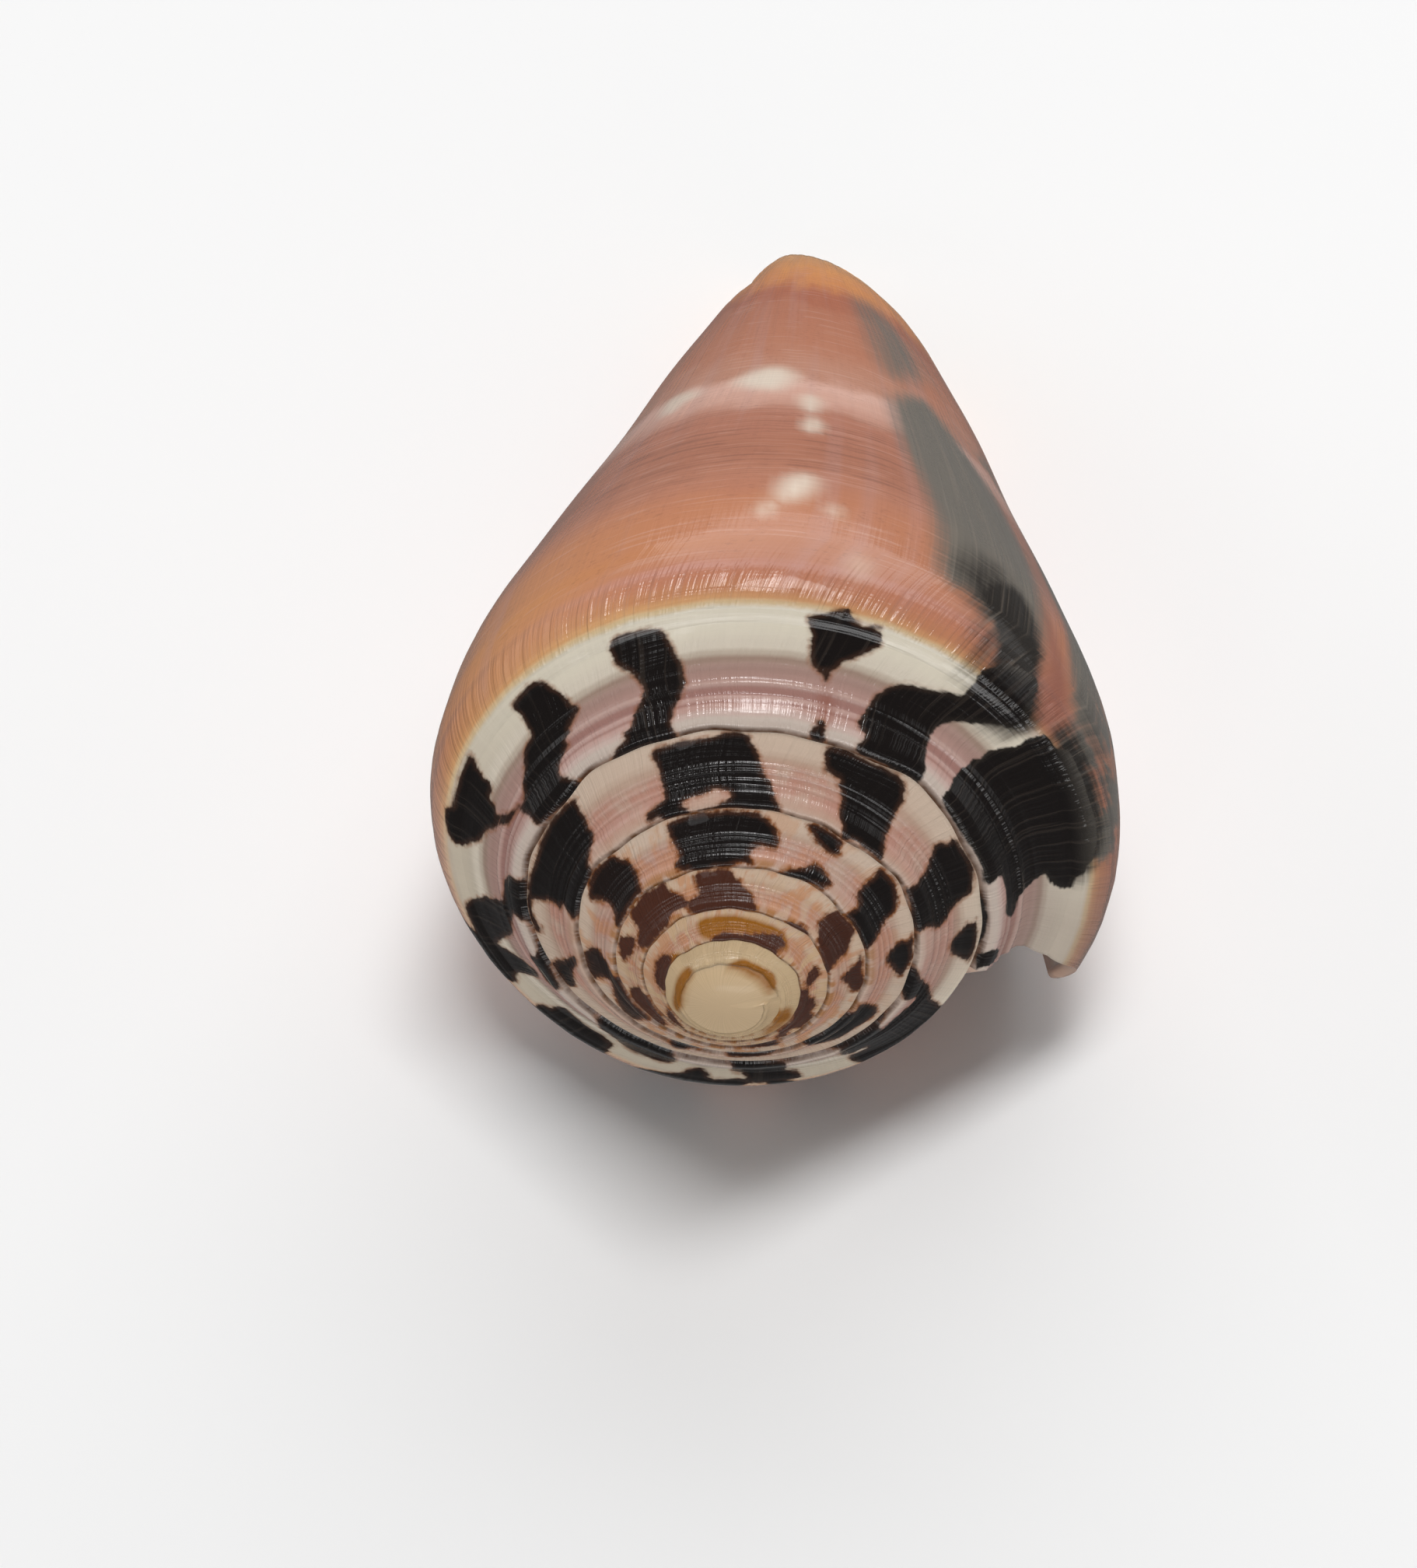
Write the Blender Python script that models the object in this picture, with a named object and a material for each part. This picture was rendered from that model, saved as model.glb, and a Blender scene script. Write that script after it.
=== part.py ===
"""A dextral cone shell, lying on its aperture side, as one closed body.

The shell is worked out in its own frame first. There the coiling axis is Z,
the apex points up, and the growth angle runs backwards from the outer lip,
in degrees. Across a whorl a second coordinate, called the station, runs from
0 at the suture through 1, where the next whorl joins, and 2, the widest point
of the shoulder, to 3 at the front end. The finished body is then laid down
with its origin under the middle of its bounding box.
"""
import math

import bmesh
import bpy
import numpy as np
from mathutils import Matrix, Vector

# Growth of the coil, in metres and degrees
WHORL_RATIO = 1.362
SUTURE_RADIUS = 0.0108
SPIRE_SLOPE = 0.774
LIP_AZIMUTH = -32.0
SHELL_TURNS = 6.125
COLUMNS_PER_TURN = 48

# Shoulder and body wall
SHOULDER_RADIUS = 0.01715
SHOULDER_DEPTH = 0.01532
FRONT_DEPTH = 0.05455
FRONT_OBLIQUE_X = -0.00352
FRONT_OBLIQUE_Y = -0.00018
COLUMELLA_RECESS = 0.0024
RECESS_START = 195.0
RECESS_SPAN = 120.0
WALL_STEP_BULGE = 1.091
COLUMELLA_RADIUS = 0.0012
COLUMELLA_BLEND = 0.00076
CANAL_FLARE = 0.00065
CANAL_FLARE_SPAN = 50.0

# Share of the shoulder radius left at each share of the way to the front end
BODY_STATIONS = (0.0, 0.08, 0.18, 0.32, 0.48, 0.64, 0.80, 0.92, 1.0)
BODY_SHARES = (1.0, 0.985, 0.926, 0.830, 0.714, 0.610, 0.491, 0.394, 0.305)

# Growth of the front end's radius since each growth angle back from the lip
FRONT_ANGLES = (0.0, 60.0, 120.0, 180.0, 240.0, 300.0, 372.0, 480.0)
FRONT_STEPS = (0.0, 0.00027, 0.00164, 0.00289, 0.00295, 0.00372, 0.00410, 0.00432)

# Swelling of the shoulder at growth angles back from the lip
SWELL_ANGLES = (0.0, 60.0, 120.0, 180.0, 220.0, 255.0, 290.0, 320.0, 345.0, 372.0)
SWELL_SHARES = (0.035, -0.031, -0.012, -0.014, -0.021, -0.014, 0.055, 0.019, -0.057, -0.137)

# Relief of the ramp below each suture
BAND_HEIGHT = 0.00039
BAND_STATION = 0.33
RAMP_SAG = 0.00015

# Outer lip, as degrees that its edge stands back at stations across the whorl
LIP_STATIONS = (0.0, 0.3, 0.55, 0.8, 1.08, 1.42, 1.8, 2.05, 2.4, 2.7, 3.0)
LIP_SETBACKS = (19.0, 19.0, 21.0, 18.0, 14.0, 9.0, 1.0, -4.0, -6.0, 0.0, 14.0)
LIP_SHEAR_SPAN = 90.0

# Wall thickness and depth of the aperture
LIP_THICKNESS = 0.0006
WALL_THICKNESS = 0.0012
THICKENING_SPAN = 30.0
APERTURE_COLUMNS = 14
ROOF_STATION = 0.4

# Apex
APEX_HEIGHT = -0.00095
APEX_RING_SHARE = 0.6
APEX_RING_LIFT = 0.8

# Rest on the aperture side: the side of the shell that faces down
REST_AZIMUTH = -85.65
REST_PITCH = -16.34

# Stations of the mesh rows
RAMP_ROWS = (0.0, 0.05, 0.16, 0.30, 0.42, 0.70)
SHOULDER_ROWS = (1.0, 1.25, 1.55, 1.80)
BODY_ROWS = 11
ROWS = RAMP_ROWS + SHOULDER_ROWS + tuple(2.0 + i / (BODY_ROWS - 1) for i in range(BODY_ROWS))
JOIN_ROW = len(RAMP_ROWS)
ROOF_ROW = JOIN_ROW + 2
END_ROW = len(ROWS) - 1
LAST_COLUMN = round(SHELL_TURNS * COLUMNS_PER_TURN)

SHELL_COLOUR = (0.52, 0.30, 0.22, 1.0)
SHELL_ROUGHNESS = 0.25


def clear_scene():
    """Remove every object that the file opened with."""
    for item in list(bpy.data.objects):
        bpy.data.objects.remove(item, do_unlink=True)


def smooth_curve(knots, values, x):
    """Value at x of the natural cubic through the knots."""
    n = len(knots)
    gaps = np.diff(knots)
    slopes = np.diff(values) / gaps
    system = np.zeros((n, n))
    right = np.zeros(n)
    system[0, 0] = 1.0
    system[-1, -1] = 1.0
    for i in range(1, n - 1):
        system[i, i - 1] = gaps[i - 1]
        system[i, i] = 2.0 * (gaps[i - 1] + gaps[i])
        system[i, i + 1] = gaps[i]
        right[i] = 6.0 * (slopes[i] - slopes[i - 1])
    bends = np.linalg.solve(system, right)
    i = int(np.clip(np.searchsorted(knots, x) - 1, 0, n - 2))
    d = x - knots[i]
    first = slopes[i] - gaps[i] * (2.0 * bends[i] + bends[i + 1]) / 6.0
    third = (bends[i + 1] - bends[i]) / (6.0 * gaps[i])
    return values[i] + d * (first + d * (bends[i] / 2.0 + d * third))


def ease(x):
    """Smooth step from 0 to 1."""
    x = min(max(x, 0.0), 1.0)
    return x * x * (3.0 - 2.0 * x)


def whorl_size(back):
    """Size of the whorl at a growth angle, as a share of its size at the lip."""
    return WHORL_RATIO ** (-back / 360.0)


def ramp_point(back, station):
    """Radius and height on the ramp between the suture and the next join."""
    radius = SUTURE_RADIUS * (1.0 + (WHORL_RATIO - 1.0) * station)
    band = 0.0
    if station < BAND_STATION:
        share = station / BAND_STATION
        band = BAND_HEIGHT * math.sin(math.pi * share ** 0.62) * (1.0 - 0.25 * share)
    sag = RAMP_SAG * math.sin(math.pi * min(max((station - 0.3) / 0.7, 0.0), 1.0))
    lift = (band - sag) / math.hypot(1.0, SPIRE_SLOPE)
    size = whorl_size(back)
    return size * (radius + lift * SPIRE_SLOPE), size * (lift - SPIRE_SLOPE * radius)


def columella_floor(radius):
    """Hold a radius above that of the columella, with a soft bend."""
    over = radius - COLUMELLA_RADIUS
    return COLUMELLA_RADIUS + 0.5 * (over + math.hypot(over, COLUMELLA_BLEND))


def swell(back):
    """Swelling of the shoulder at a growth angle."""
    return smooth_curve(SWELL_ANGLES, SWELL_SHARES, min(back, SWELL_ANGLES[-1]))


def shoulder_point(back, station):
    """Radius and height on the rounded shoulder."""
    turn = (station - 1.0) * math.pi / 2.0
    join = WHORL_RATIO * SUTURE_RADIUS
    wide = SHOULDER_RADIUS * (1.0 + swell(back))
    radius = join + (wide - join) * math.sin(turn)
    depth = SPIRE_SLOPE * join + (SHOULDER_DEPTH - SPIRE_SLOPE * join) * (1.0 - math.cos(turn))
    size = whorl_size(back)
    floor_gain = columella_floor(wide * size) - wide * size
    return size * radius + floor_gain * math.sin(turn) ** 2, -size * depth


def body_point(back, station):
    """Radius and height on the body wall between the shoulder and the front end."""
    u = station - 2.0
    size = whorl_size(back)
    turns = back / 360.0
    rate = 1.0 - 1.0 / WHORL_RATIO
    bulge = 1.0 + (WALL_STEP_BULGE - 1.0) * 4.0 * u * (1.0 - u)
    radius = SHOULDER_RADIUS * smooth_curve(BODY_STATIONS, BODY_SHARES, u)
    radius -= SHOULDER_RADIUS * rate * bulge * (1.0 - u) * turns
    radius -= smooth_curve(FRONT_ANGLES, FRONT_STEPS, min(back, FRONT_ANGLES[-1])) * u
    radius += SHOULDER_RADIUS * (size - 1.0 + rate * turns) * (1.0 - u)
    radius += SHOULDER_RADIUS * size * swell(back) * (1.0 - u) ** 2
    near_lip = max(1.0 - back / CANAL_FLARE_SPAN, 0.0) ** 2
    radius += CANAL_FLARE * near_lip * max((u - 0.55) / 0.45, 0.0) ** 1.5
    azimuth = math.radians(LIP_AZIMUTH + back)
    front = FRONT_DEPTH + FRONT_OBLIQUE_X * math.cos(azimuth) + FRONT_OBLIQUE_Y * math.sin(azimuth)
    front -= COLUMELLA_RECESS * ease((back - RECESS_START) / RECESS_SPAN)
    return columella_floor(radius), -SHOULDER_DEPTH * size * (1.0 - u) - front * u


def section_point(back, station):
    """Radius and height of the outer surface at a growth angle and a station."""
    if station <= 1.0:
        return ramp_point(back, station)
    if station < 2.0:
        return shoulder_point(back, station)
    return body_point(back, station)


def inner_section_point(back, station):
    """Radius and height of the aperture's outer wall, inside the outer surface."""
    nudge = 0.02
    low, high = max(station - nudge, 0.0), min(station + nudge, 3.0)
    before = np.array(section_point(back, low))
    after = np.array(section_point(back, high))
    run = (after - before) / np.linalg.norm(after - before)
    here = np.array(section_point(back, station))
    room = here[0] - section_point(back + 360.0, station)[0]
    thick = LIP_THICKNESS + (WALL_THICKNESS - LIP_THICKNESS) * ease(back / THICKENING_SPAN)
    thick = min(thick, 0.5 * room)
    return here + thick * np.array([run[1], -run[0]])


def shear(column, station):
    """Degrees by which a mesh row is drawn back from its column."""
    back = column * 360.0 / COLUMNS_PER_TURN
    edge = max(1.0 - abs(back) / LIP_SHEAR_SPAN, 0.0) ** 2
    under = max(1.0 - abs(back - 360.0) / LIP_SHEAR_SPAN, 0.0) ** 2
    reach = ease((station - 0.3) / 0.7) if station <= 1.0 else 1.0 - ease((station - 1.0) / 1.2)
    setback = smooth_curve(LIP_STATIONS, LIP_SETBACKS, station)
    return setback * edge + LIP_SETBACKS[0] * under * reach


def growth_angle(column, row):
    """Growth angle of a mesh point."""
    return column * 360.0 / COLUMNS_PER_TURN + shear(column, ROWS[row])


def place(point, back):
    """Turn a radius and a height into a point at a growth angle."""
    azimuth = math.radians(LIP_AZIMUTH + back)
    return Vector((point[0] * math.cos(azimuth), point[0] * math.sin(azimuth), point[1]))


class ShellMesh:
    """Builds the closed surface, sharing points along the sutures."""

    def __init__(self):
        self.mesh = bmesh.new()
        self.outer_points = {}
        self.inner_points = {}

    def outer(self, column, row):
        """Point of the outer surface."""
        if row == 0 and column + COLUMNS_PER_TURN <= LAST_COLUMN:
            return self.outer(column + COLUMNS_PER_TURN, JOIN_ROW)
        key = (column, row)
        if key not in self.outer_points:
            back = growth_angle(column, row)
            spot = place(section_point(back, ROWS[row]), back)
            self.outer_points[key] = self.mesh.verts.new(spot)
        return self.outer_points[key]

    def inner(self, column, row):
        """Point of the aperture's outer wall."""
        if row == 0:
            return self.outer(column + COLUMNS_PER_TURN, ROOF_ROW)
        key = (column, row)
        if key not in self.inner_points:
            back = growth_angle(column, row)
            station = ROWS[row]
            spot = place(inner_section_point(back, max(station, ROOF_STATION)), back)
            if station < ROOF_STATION:
                spot = self.outer(column + COLUMNS_PER_TURN, ROOF_ROW).co.lerp(spot, station / ROOF_STATION)
            self.inner_points[key] = self.mesh.verts.new(spot)
        return self.inner_points[key]

    def face(self, *points):
        """Add one face, in triangles where it has more than three points."""
        for i in range(1, len(points) - 1):
            self.mesh.faces.new((points[0], points[i], points[i + 1]))

    def outer_skin(self):
        """Spire, body whorl, and the wall of the whorl before inside the aperture."""
        for column in range(LAST_COLUMN):
            rows = list(range(JOIN_ROW))
            if column < COLUMNS_PER_TURN:
                rows += list(range(JOIN_ROW, END_ROW))
            elif column < COLUMNS_PER_TURN + APERTURE_COLUMNS:
                rows += list(range(ROOF_ROW, END_ROW))
            for row in rows:
                self.face(
                    self.outer(column, row),
                    self.outer(column, row + 1),
                    self.outer(column + 1, row + 1),
                    self.outer(column + 1, row),
                )

    def aperture_wall(self):
        """Inside of the outer lip and its roof."""
        for column in range(APERTURE_COLUMNS):
            for row in range(END_ROW):
                self.face(
                    self.inner(column, row),
                    self.inner(column + 1, row),
                    self.inner(column + 1, row + 1),
                    self.inner(column, row + 1),
                )

    def lip_edge(self):
        """Edge of the outer lip, closed at the suture along the whorl before."""
        under = [self.outer(COLUMNS_PER_TURN, row) for row in range(JOIN_ROW + 1, ROOF_ROW + 1)]
        self.face(self.inner(0, 1), self.outer(0, 1), self.outer(0, 0), *under)
        for row in range(1, END_ROW):
            self.face(
                self.outer(0, row),
                self.inner(0, row),
                self.inner(0, row + 1),
                self.outer(0, row + 1),
            )

    def aperture_back(self):
        """Far end of the aperture, inside the shell."""
        last = APERTURE_COLUMNS
        wall = COLUMNS_PER_TURN + APERTURE_COLUMNS
        for row in range(1, ROOF_ROW):
            self.face(self.inner(last, 0), self.inner(last, row + 1), self.inner(last, row))
        for row in range(ROOF_ROW, END_ROW):
            self.face(
                self.outer(wall, row),
                self.outer(wall, row + 1),
                self.inner(last, row + 1),
                self.inner(last, row),
            )

    def front_end(self):
        """Front rim of the lip, and the closed front of the columella."""
        for column in range(APERTURE_COLUMNS):
            self.face(
                self.outer(column, END_ROW),
                self.inner(column, END_ROW),
                self.inner(column + 1, END_ROW),
                self.outer(column + 1, END_ROW),
            )
        loop = [self.inner(APERTURE_COLUMNS, END_ROW)]
        for column in range(APERTURE_COLUMNS, COLUMNS_PER_TURN + APERTURE_COLUMNS + 1):
            loop.append(self.outer(column, END_ROW))
        height = sum(point.co.z for point in loop) / len(loop)
        centre = self.mesh.verts.new((0.0, 0.0, height - 0.5 * COLUMELLA_RADIUS))
        for i, point in enumerate(loop):
            self.mesh.faces.new((centre, point, loop[(i + 1) % len(loop)]))

    def apex(self):
        """Worn, rounded tip of the spire."""
        loop = [self.outer(column, 0) for column in range(LAST_COLUMN - COLUMNS_PER_TURN, LAST_COLUMN + 1)]
        loop += [self.outer(LAST_COLUMN, row) for row in range(1, JOIN_ROW)]
        top = Vector((0.0, 0.0, APEX_HEIGHT))
        ring = []
        for point in loop:
            spot = top.lerp(point.co, APEX_RING_SHARE)
            spot.z = top.z + (point.co.z - top.z) * (1.0 - APEX_RING_LIFT)
            ring.append(self.mesh.verts.new(spot))
        tip = self.mesh.verts.new(top)
        for i in range(len(loop)):
            after = (i + 1) % len(loop)
            self.face(loop[i], loop[after], ring[after], ring[i])
            self.mesh.faces.new((ring[i], ring[after], tip))

    def build(self):
        """Make every part of the surface and turn all faces outwards."""
        self.outer_skin()
        self.aperture_wall()
        self.lip_edge()
        self.aperture_back()
        self.front_end()
        self.apex()
        bmesh.ops.recalc_face_normals(self.mesh, faces=self.mesh.faces[:])
        return self.mesh


def resting_matrix():
    """Rotation that lays the shell on its aperture side, apex to the front."""
    spin = Matrix.Rotation(math.radians(-90.0 - REST_AZIMUTH), 4, "Z")
    lay = Matrix.Rotation(math.radians(90.0 + REST_PITCH), 4, "X")
    return lay @ spin


def lay_down(mesh):
    """Rest the shell on the ground with its bounding box centred on the origin."""
    bmesh.ops.transform(mesh, matrix=resting_matrix(), verts=mesh.verts[:])
    spots = np.array([point.co[:] for point in mesh.verts])
    low, high = spots.min(axis=0), spots.max(axis=0)
    shift = Vector((-(low[0] + high[0]) / 2.0, -(low[1] + high[1]) / 2.0, -low[2]))
    bmesh.ops.translate(mesh, vec=shift, verts=mesh.verts[:])


def shell_material():
    """Polished pinkish brown shell."""
    material = bpy.data.materials.new("cone_shell")
    material.use_nodes = True
    shader = material.node_tree.nodes["Principled BSDF"]
    shader.inputs["Base Color"].default_value = SHELL_COLOUR
    shader.inputs["Roughness"].default_value = SHELL_ROUGHNESS
    shader.inputs["Metallic"].default_value = 0.0
    return material


def main():
    """Build the shell."""
    clear_scene()
    surface = ShellMesh().build()
    lay_down(surface)
    data = bpy.data.meshes.new("shell")
    surface.to_mesh(data)
    surface.free()
    data.shade_smooth()
    data.set_sharp_from_angle(angle=math.radians(50.0))
    data.materials.append(shell_material())
    shell = bpy.data.objects.new("shell", data)
    bpy.context.scene.collection.objects.link(shell)


main()
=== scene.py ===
"""Looks of a spired, glossy cone shell lying on its aperture side.

The shell is drawn in its own frame and then laid down as its solid is. In that
frame the coiling axis is Z, the apex points up, and the growth angle runs
backwards from the outer lip, in degrees. Across a whorl a second coordinate,
the station, runs from 0 at the suture through 1, where the next whorl joins,
and 2, the widest point of the shoulder, to 3 at the front end. Lengths are in
metres, and pixels are those of the 1822 by 2016 photograph.
"""
import logging
import math
from collections import defaultdict
from dataclasses import dataclass, field
from enum import Enum

import bpy
import numpy as np
from mathutils import Matrix, Vector
from mathutils.bvhtree import BVHTree


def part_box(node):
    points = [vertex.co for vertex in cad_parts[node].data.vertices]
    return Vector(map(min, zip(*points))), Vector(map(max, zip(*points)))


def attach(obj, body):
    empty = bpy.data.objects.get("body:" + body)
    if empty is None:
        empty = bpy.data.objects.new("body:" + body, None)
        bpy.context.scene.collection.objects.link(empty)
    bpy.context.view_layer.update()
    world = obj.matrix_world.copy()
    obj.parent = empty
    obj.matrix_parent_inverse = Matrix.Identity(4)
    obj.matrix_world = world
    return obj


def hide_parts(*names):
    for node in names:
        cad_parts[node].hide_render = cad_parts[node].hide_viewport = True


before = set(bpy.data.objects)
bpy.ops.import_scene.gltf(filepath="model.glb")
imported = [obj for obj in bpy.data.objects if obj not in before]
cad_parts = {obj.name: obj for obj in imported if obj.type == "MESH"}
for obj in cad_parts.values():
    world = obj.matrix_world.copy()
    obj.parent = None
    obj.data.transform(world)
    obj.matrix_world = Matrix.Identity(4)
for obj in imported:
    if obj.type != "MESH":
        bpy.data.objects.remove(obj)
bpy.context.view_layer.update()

LOG = logging.getLogger("cone_shell")
TURN = 360.0
MM = 0.001
PHOTO_WIDTH = 1822.0
PHOTO_HEIGHT = 2016.0
SPIRAL_RATIO = 1.362
OUTSIDE = -9.0

Pair = tuple[float, float]
Colour = tuple[float, float, float]
Zones = tuple[tuple[float, Colour], ...]
Ridges = tuple[tuple[float, float, float], ...]
Socket = bpy.types.NodeSocket
Value = Socket | float | Colour
WHOLE: Pair = (0.0, 1.0)


def ease(x: np.ndarray) -> np.ndarray:
    """Smooth step from 0 to 1."""
    x = np.clip(x, 0.0, 1.0)
    return x * x * (3.0 - 2.0 * x)


def bell(x: np.ndarray, centre: float, width: float) -> np.ndarray:
    """Bell curve of height 1 round a centre."""
    return np.exp(-(((x - centre) / width) ** 2))


def whorl_size(back: np.ndarray) -> np.ndarray:
    """Size of the whorl at a growth angle, as a share of its size at the lip."""
    return SPIRAL_RATIO ** (-back / TURN)


def in_scene(name: str, data: bpy.types.ID) -> bpy.types.Object:
    """Make an object and put it in the scene.

    Args:
        name: Name of the object.
        data: Its mesh, light or camera.

    Returns:
        The object.
    """
    thing = bpy.data.objects.new(name, data)
    bpy.context.scene.collection.objects.link(thing)
    return thing


@dataclass(frozen=True)
class SmoothCurve:
    """Natural cubic through named knots."""

    knots: tuple[float, ...]
    values: tuple[float, ...]

    def at(self, x: np.ndarray) -> np.ndarray:
        """Read the curve.

        Args:
            x: Places along the knots.

        Returns:
            The curve's value at each place.
        """
        knots, values = np.array(self.knots), np.array(self.values)
        n = len(knots)
        gaps = np.diff(knots)
        slopes = np.diff(values) / gaps
        system, right = np.eye(n), np.zeros(n)
        for i in range(1, n - 1):
            system[i, i - 1 : i + 2] = gaps[i - 1], 2.0 * (gaps[i - 1] + gaps[i]), gaps[i]
            right[i] = 6.0 * (slopes[i] - slopes[i - 1])
        bends = np.linalg.solve(system, right)
        i = np.clip(np.searchsorted(knots, x) - 1, 0, n - 2)
        d = x - knots[i]
        first = slopes[i] - gaps[i] * (2.0 * bends[i] + bends[i + 1]) / 6.0
        third = (bends[i + 1] - bends[i]) / (6.0 * gaps[i])
        return values[i] + d * (first + d * (bends[i] / 2.0 + d * third))


@dataclass(frozen=True)
class GrowthLaw:
    """Radius and height of the shell's section at any growth angle and station."""

    ratio: float = SPIRAL_RATIO
    suture: float = 0.0108
    slope: float = 0.774
    lip_azimuth: float = -32.0
    shoulder: float = 0.01715
    shoulder_depth: float = 0.01532
    front_depth: float = 0.05455
    front_oblique: Pair = (-0.00352, -0.00018)
    recess: float = 0.0024
    recess_start: float = 195.0
    recess_span: float = 120.0
    step_bulge: float = 1.091
    columella: float = 0.0012
    columella_blend: float = 0.00076
    flare: float = 0.00065
    flare_span: float = 50.0
    flare_start: float = 0.55
    flare_bend: float = 1.5
    band_height: float = 0.00039
    band_station: float = 0.33
    band_lean: float = 0.62
    band_fade: float = 0.25
    sag: float = 0.00015
    sag_start: float = 0.3
    shear_span: float = 90.0
    shear_start: float = 0.3
    shear_fade: float = 1.2
    run_nudge: float = 0.02
    lip_thickness: float = 0.0006
    wall_thickness: float = 0.0012
    thickening_span: float = 30.0
    body: SmoothCurve = SmoothCurve(
        (0.0, 0.08, 0.18, 0.32, 0.48, 0.64, 0.80, 0.92, 1.0),
        (1.0, 0.985, 0.926, 0.830, 0.714, 0.610, 0.491, 0.394, 0.305),
    )
    front: SmoothCurve = SmoothCurve(
        (0.0, 60.0, 120.0, 180.0, 240.0, 300.0, 372.0, 480.0),
        (0.0, 0.00027, 0.00164, 0.00289, 0.00295, 0.00372, 0.00410, 0.00432),
    )
    swell: SmoothCurve = SmoothCurve(
        (0.0, 60.0, 120.0, 180.0, 220.0, 255.0, 290.0, 320.0, 345.0, 372.0),
        (0.035, -0.031, -0.012, -0.014, -0.021, -0.014, 0.055, 0.019, -0.057, -0.137),
    )
    lip: SmoothCurve = SmoothCurve(
        (0.0, 0.3, 0.55, 0.8, 1.08, 1.42, 1.8, 2.05, 2.4, 2.7, 3.0),
        (19.0, 19.0, 21.0, 18.5, 16.0, 13.5, 7.0, 0.5, -4.5, 0.0, 14.0),
    )

    def shear(self, angle: np.ndarray, station: np.ndarray) -> np.ndarray:
        """Work out how far a mesh column stands back, so that the lip has its curve.

        Args:
            angle: Growth angles of the column without it.
            station: Stations across the whorl.

        Returns:
            Degrees.
        """
        edge = np.maximum(1.0 - np.abs(angle) / self.shear_span, 0.0) ** 2
        under = np.maximum(1.0 - np.abs(angle - TURN) / self.shear_span, 0.0) ** 2
        low = ease((station - self.shear_start) / (1.0 - self.shear_start))
        reach = np.where(station <= 1.0, low, 1.0 - ease((station - 1.0) / self.shear_fade))
        return self.lip.at(station) * edge + self.lip.values[0] * under * reach

    def floor(self, radius: np.ndarray) -> np.ndarray:
        """Hold a radius above that of the columella, with a soft bend."""
        over = radius - self.columella
        return self.columella + 0.5 * (over + np.hypot(over, self.columella_blend))

    def ramp(self, back: np.ndarray, s: np.ndarray) -> tuple[np.ndarray, np.ndarray]:
        """Section between the suture and the next join.

        Args:
            back: Growth angles, in degrees.
            s: Stations from 0 to 1.

        Returns:
            Radii and heights.
        """
        radius = self.suture * (1.0 + (self.ratio - 1.0) * s)
        share = np.clip(s / self.band_station, 0.0, 1.0)
        band = self.band_height * np.sin(np.pi * share**self.band_lean) * (1.0 - self.band_fade * share)
        sagged = np.clip((s - self.sag_start) / (1.0 - self.sag_start), 0.0, 1.0)
        sag = self.sag * np.sin(np.pi * sagged)
        lift = (band - sag) / math.hypot(1.0, self.slope)
        size = whorl_size(back)
        return size * (radius + lift * self.slope), size * (lift - self.slope * radius)

    def rounding(self, back: np.ndarray, s: np.ndarray) -> tuple[np.ndarray, np.ndarray]:
        """Section of the rounded shoulder.

        Args:
            back: Growth angles, in degrees.
            s: Stations from 1 to 2.

        Returns:
            Radii and heights.
        """
        turn = (s - 1.0) * np.pi / 2.0
        join = self.ratio * self.suture
        swell = self.swell.at(np.minimum(back, self.swell.knots[-1]))
        wide = self.shoulder * (1.0 + swell)
        radius = join + (wide - join) * np.sin(turn)
        drop = (self.shoulder_depth - self.slope * join) * (1.0 - np.cos(turn))
        size = whorl_size(back)
        gain = self.floor(wide * size) - wide * size
        return size * radius + gain * np.sin(turn) ** 2, -size * (self.slope * join + drop)

    def wall(self, back: np.ndarray, s: np.ndarray) -> tuple[np.ndarray, np.ndarray]:
        """Section of the body wall.

        Args:
            back: Growth angles, in degrees.
            s: Stations from 2 to 3.

        Returns:
            Radii and heights.
        """
        u = s - 2.0
        size = whorl_size(back)
        turns = back / TURN
        rate = 1.0 - 1.0 / self.ratio
        bulge = 1.0 + (self.step_bulge - 1.0) * 4.0 * u * (1.0 - u)
        swell = self.swell.at(np.minimum(back, self.swell.knots[-1]))
        radius = self.shoulder * self.body.at(u)
        radius -= self.shoulder * rate * bulge * (1.0 - u) * turns
        radius -= self.front.at(np.minimum(back, self.front.knots[-1])) * u
        radius += self.shoulder * (size - 1.0 + rate * turns) * (1.0 - u)
        radius += self.shoulder * size * swell * (1.0 - u) ** 2
        near_lip = np.maximum(1.0 - back / self.flare_span, 0.0) ** 2
        flared = np.maximum((u - self.flare_start) / (1.0 - self.flare_start), 0.0)
        radius += self.flare * near_lip * flared**self.flare_bend
        azimuth = np.radians(self.lip_azimuth + back)
        depth = self.front_depth + self.front_oblique[0] * np.cos(azimuth)
        depth = depth + self.front_oblique[1] * np.sin(azimuth)
        depth = depth - self.recess * ease((back - self.recess_start) / self.recess_span)
        return self.floor(radius), -self.shoulder_depth * size * (1.0 - u) - depth * u

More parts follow.
